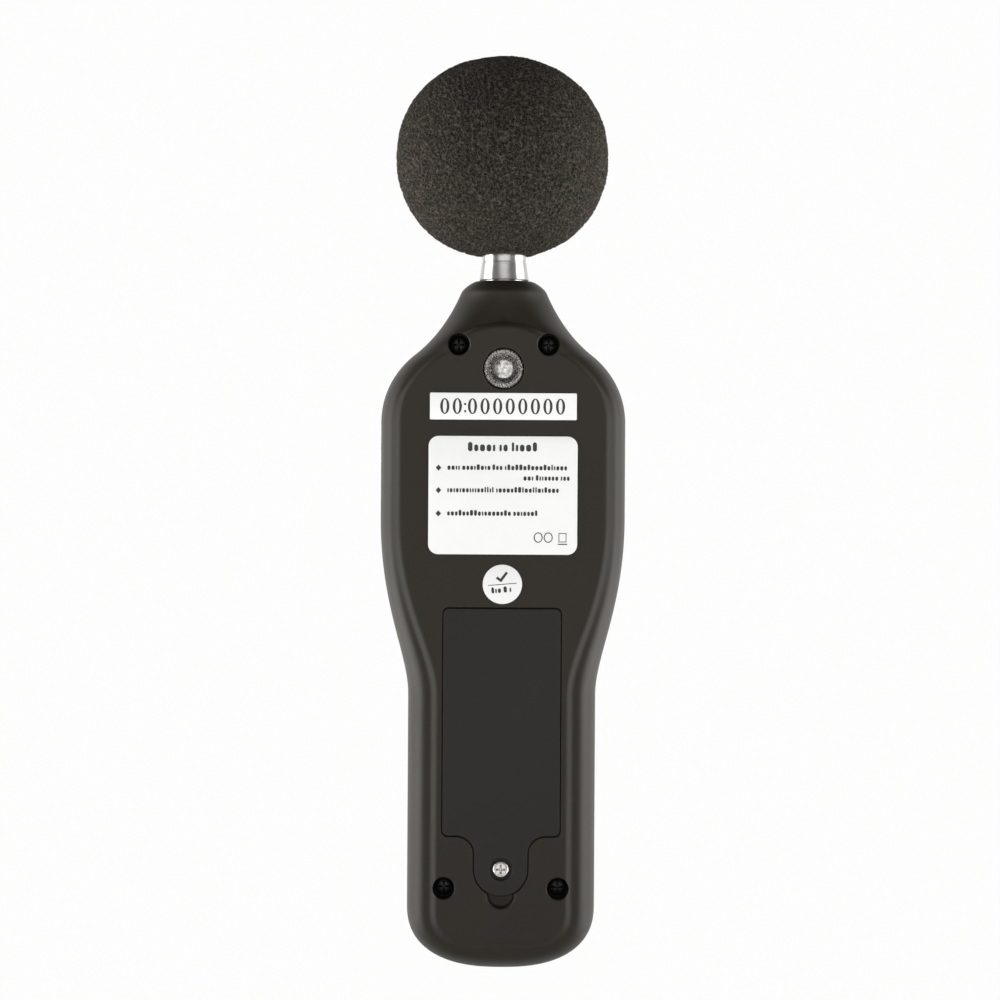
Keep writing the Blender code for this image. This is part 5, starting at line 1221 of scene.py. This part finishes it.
def foam_ball():
    """The ball as a turned surface, r = R sin(a), z = H cos(a), a little squarer than round,
    that ends in a rolled mouth and the bore. Cells are sunk into it along its own normals."""
    a = np.linspace(0, np.pi - math.asin(BALL_MOUTH / BALL_RADIUS), BALL_ROWS)
    rows = BALL_ROWS + ROLL_ROWS + BORE_ROWS + 1
    radius = BALL_RADIUS * np.sin(a) ** (2 / BALL_POWER)
    height = BALL_Z + BALL_HALF * np.sign(np.cos(a)) * np.abs(np.cos(a)) ** (2 / BALL_POWER)
    roll = np.linspace(0, 1, ROLL_ROWS + 1)[1:]
    lift = height[-1] + MOUTH_RISE * roll**2
    bore = np.linspace(lift[-1], BORE_TOP_Z, BORE_ROWS + 1)[1:]
    rolled = mix(radius[-1], BORE_RADIUS, roll)
    radius = np.concatenate([radius, rolled, np.full(BORE_ROWS, BORE_RADIUS), [0.0]])
    height = np.concatenate([height, lift, bore, [BORE_TOP_Z]])
    turn = np.linspace(0, 2 * np.pi, BALL_SIDES, endpoint=False)
    turn = turn + np.pi / BALL_SIDES * (np.arange(rows) % 2)[:, None]
    skin = np.clip((radius - BORE_RADIUS) / 0.004, 0, 1)[:, None] * np.ones(BALL_SIDES)
    skin[-BORE_ROWS - 2:] = 0.0
    points = np.stack([
        radius[:, None] * np.cos(turn) + BALL_ASIDE * smooth(skin),
        SEAM_Y + radius[:, None] * np.sin(turn),
        height[:, None] + 0 * turn,
    ], axis=-1).reshape(-1, 3)
    outward = (points - (BALL_ASIDE, SEAM_Y, BALL_Z)) / (BALL_RADIUS, BALL_RADIUS, BALL_HALF)
    outward /= np.linalg.norm(outward, axis=1)[:, None] + 1e-9
    skin[:BALL_ROWS // 2] = 1.0
    x, y, z = points.T
    lumps = np.sin(x * 310 + 2 * np.sin(z * 230)) * np.sin(y * 270 + z * 190)
    sunk = CELL_DEPTH * (1 - smooth(foam_cells(points, CELL) * 1.25)) - LUMP_HEIGHT * lumps
    sunk += FINE_DEPTH * (1 - smooth(foam_cells(points + 0.5, CELL * FINE_CELL) * 1.2))
    sunk += np.random.default_rng(5).uniform(0, SCATTER, len(points))
    points = points - outward * (sunk * skin.reshape(-1))[:, None]
    return mesh_piece("windscreen_foam", points, grid_faces(rows, BALL_SIDES, around=True))


ball = foam_ball()
ball.data.shade_smooth()
co = np.empty(len(ball.data.vertices) * 3)
ball.data.vertices.foreach_get("co", co)
pits = foam_cells(co.reshape(-1, 3), CELL)
attribute = ball.data.attributes.new("pit", "FLOAT", "POINT")
attribute.data.foreach_set("value", pits.astype(np.float32))
# The foam's colour paints light and shade: it is darker in the cell pits and hollows as painted shade, and
# its fine specks are partly random tone and partly painted glints on the cut struts.
foam = Paint("windscreen_foam", (0.03, 0.027, 0.023), 0.95, Specular_IOR_Level=0.2)
pit = foam.add("ShaderNodeAttribute", {"attribute_name": "pit"}, {}, "Fac")
voronoi = {"Vector": foam.where, "Scale": 2000.0}
walls = foam.add("ShaderNodeTexVoronoi", {"feature": "DISTANCE_TO_EDGE"}, voronoi, "Distance") * 5.0
hollow = 1 - walls.maths("SMOOTH_MIN", walls, 1.0, 0.2)
speck_and_glint = foam.noise(3900, 2.0, 0.75)
shade = foam.ramp(pit * 0.4 + hollow * 0.25 + speck_and_glint * 1.5, 0.80, 1.42)
foam.vary(Base_Color=foam.blend(shade * shade, (0.004, 0.0036, 0.003), (0.150, 0.127, 0.099)))
foam.bump(pit * 0.5 + hollow * 0.5 + speck_and_glint * 0.6, 0.0004)
place(ball, foam, "windscreen", "foam_black", "windscreen")


# The studio: a pale floor whose edge fades into a white room. Soft light comes from both
# sides and spreads wider low down, with a narrow fill on the camera's side, a weaker one
# behind the meter and little from above, so that black plastic keeps bright edges.
FLOOR_Z, FLOOR_RADIUS, FLOOR_FADE = CASE_BOTTOM_Z - 0.070, 0.60, (0.05, 0.38)
under = FLOOR_Z - 0.002
profile = [(0, under), (FLOOR_RADIUS, under), (FLOOR_RADIUS, FLOOR_Z), (0, FLOOR_Z)]
floor = lathe("floor", profile, (0, SEAM_Y, 0))
pale = Paint("studio_floor", (0.86, 0.86, 0.855), 0.6)
centred = pale.add("ShaderNodeMapping", {}, {0: pale.where, 1: (0, -SEAM_Y, -FLOOR_Z)})
spread = pale.add("ShaderNodeVectorMath", {"operation": "LENGTH"}, {0: centred}, "Value")
fade = pale.ramp(spread, *FLOOR_FADE, 1.0, 0.0, "SMOOTHSTEP")
paper = pale.blend(pale.noise(25, 3.0), (0.84, 0.84, 0.835), (0.88, 0.88, 0.875))
pale.vary(Base_Color=paper, Alpha=fade).on(floor)

ROOM_LIGHT, FRONT_LIGHT, SIDE_LIGHT, BACK_LIGHT = 0.30, 1.04, 3.60, 0.75
SIDE_SPAN, FRONT_SPAN, BACK_SPAN, LOW_SPAN = (0.84, 0.99), (0.77, 0.97), (0.05, -0.30), (-0.10, -0.70)
LOW_SPREAD = 0.60
world = bpy.data.worlds.new("studio")
world.use_nodes = True
bpy.context.scene.world = world
room = Nodes(world.node_tree, "Generated")
across, forward = room.axis("X"), room.axis("Y")
aside = across.maths("ABSOLUTE", across) + room.ramp(room.axis("Z"), *LOW_SPAN, 0.0, LOW_SPREAD)
sides = room.ramp(aside, *SIDE_SPAN, 0.0, SIDE_LIGHT, "SMOOTHSTEP")
fill = room.ramp(forward, *FRONT_SPAN, 0.0, FRONT_LIGHT, "SMOOTHSTEP")
behind = room.ramp(forward, *BACK_SPAN, 0.0, BACK_LIGHT, "SMOOTHSTEP")
light = sides + fill + behind + ROOM_LIGHT
seen = room.add("ShaderNodeLightPath", {}, {}, "Is Camera Ray")
sky = world.node_tree.nodes["Background"]
room.feed(sky.inputs["Strength"], light + seen * (1 - light))
sky.inputs["Color"].default_value = (0.985, 0.985, 0.98, 1.0)


def softbox(name, at, watts):
    """A tall soft light that faces the middle of the meter."""
    data = bpy.data.lights.new(name, "AREA")
    data.shape, data.size, data.size_y, data.energy = "RECTANGLE", 0.35, 0.9, watts
    light = bpy.data.objects.new(name, data)
    light.location = at
    toward = Vector((0, SEAM_Y, CAMERA_HEIGHT)) - Vector(at)
    light.rotation_euler = toward.to_track_quat("-Z", "Y").to_euler()
    bpy.context.scene.collection.objects.link(light)


softbox("left_softbox", (0.75, 0.15, 0.0), 3.0)
softbox("right_softbox", (-0.75, 0.15, 0.0), 2.2)
bpy.context.scene.view_settings.view_transform = "Standard"
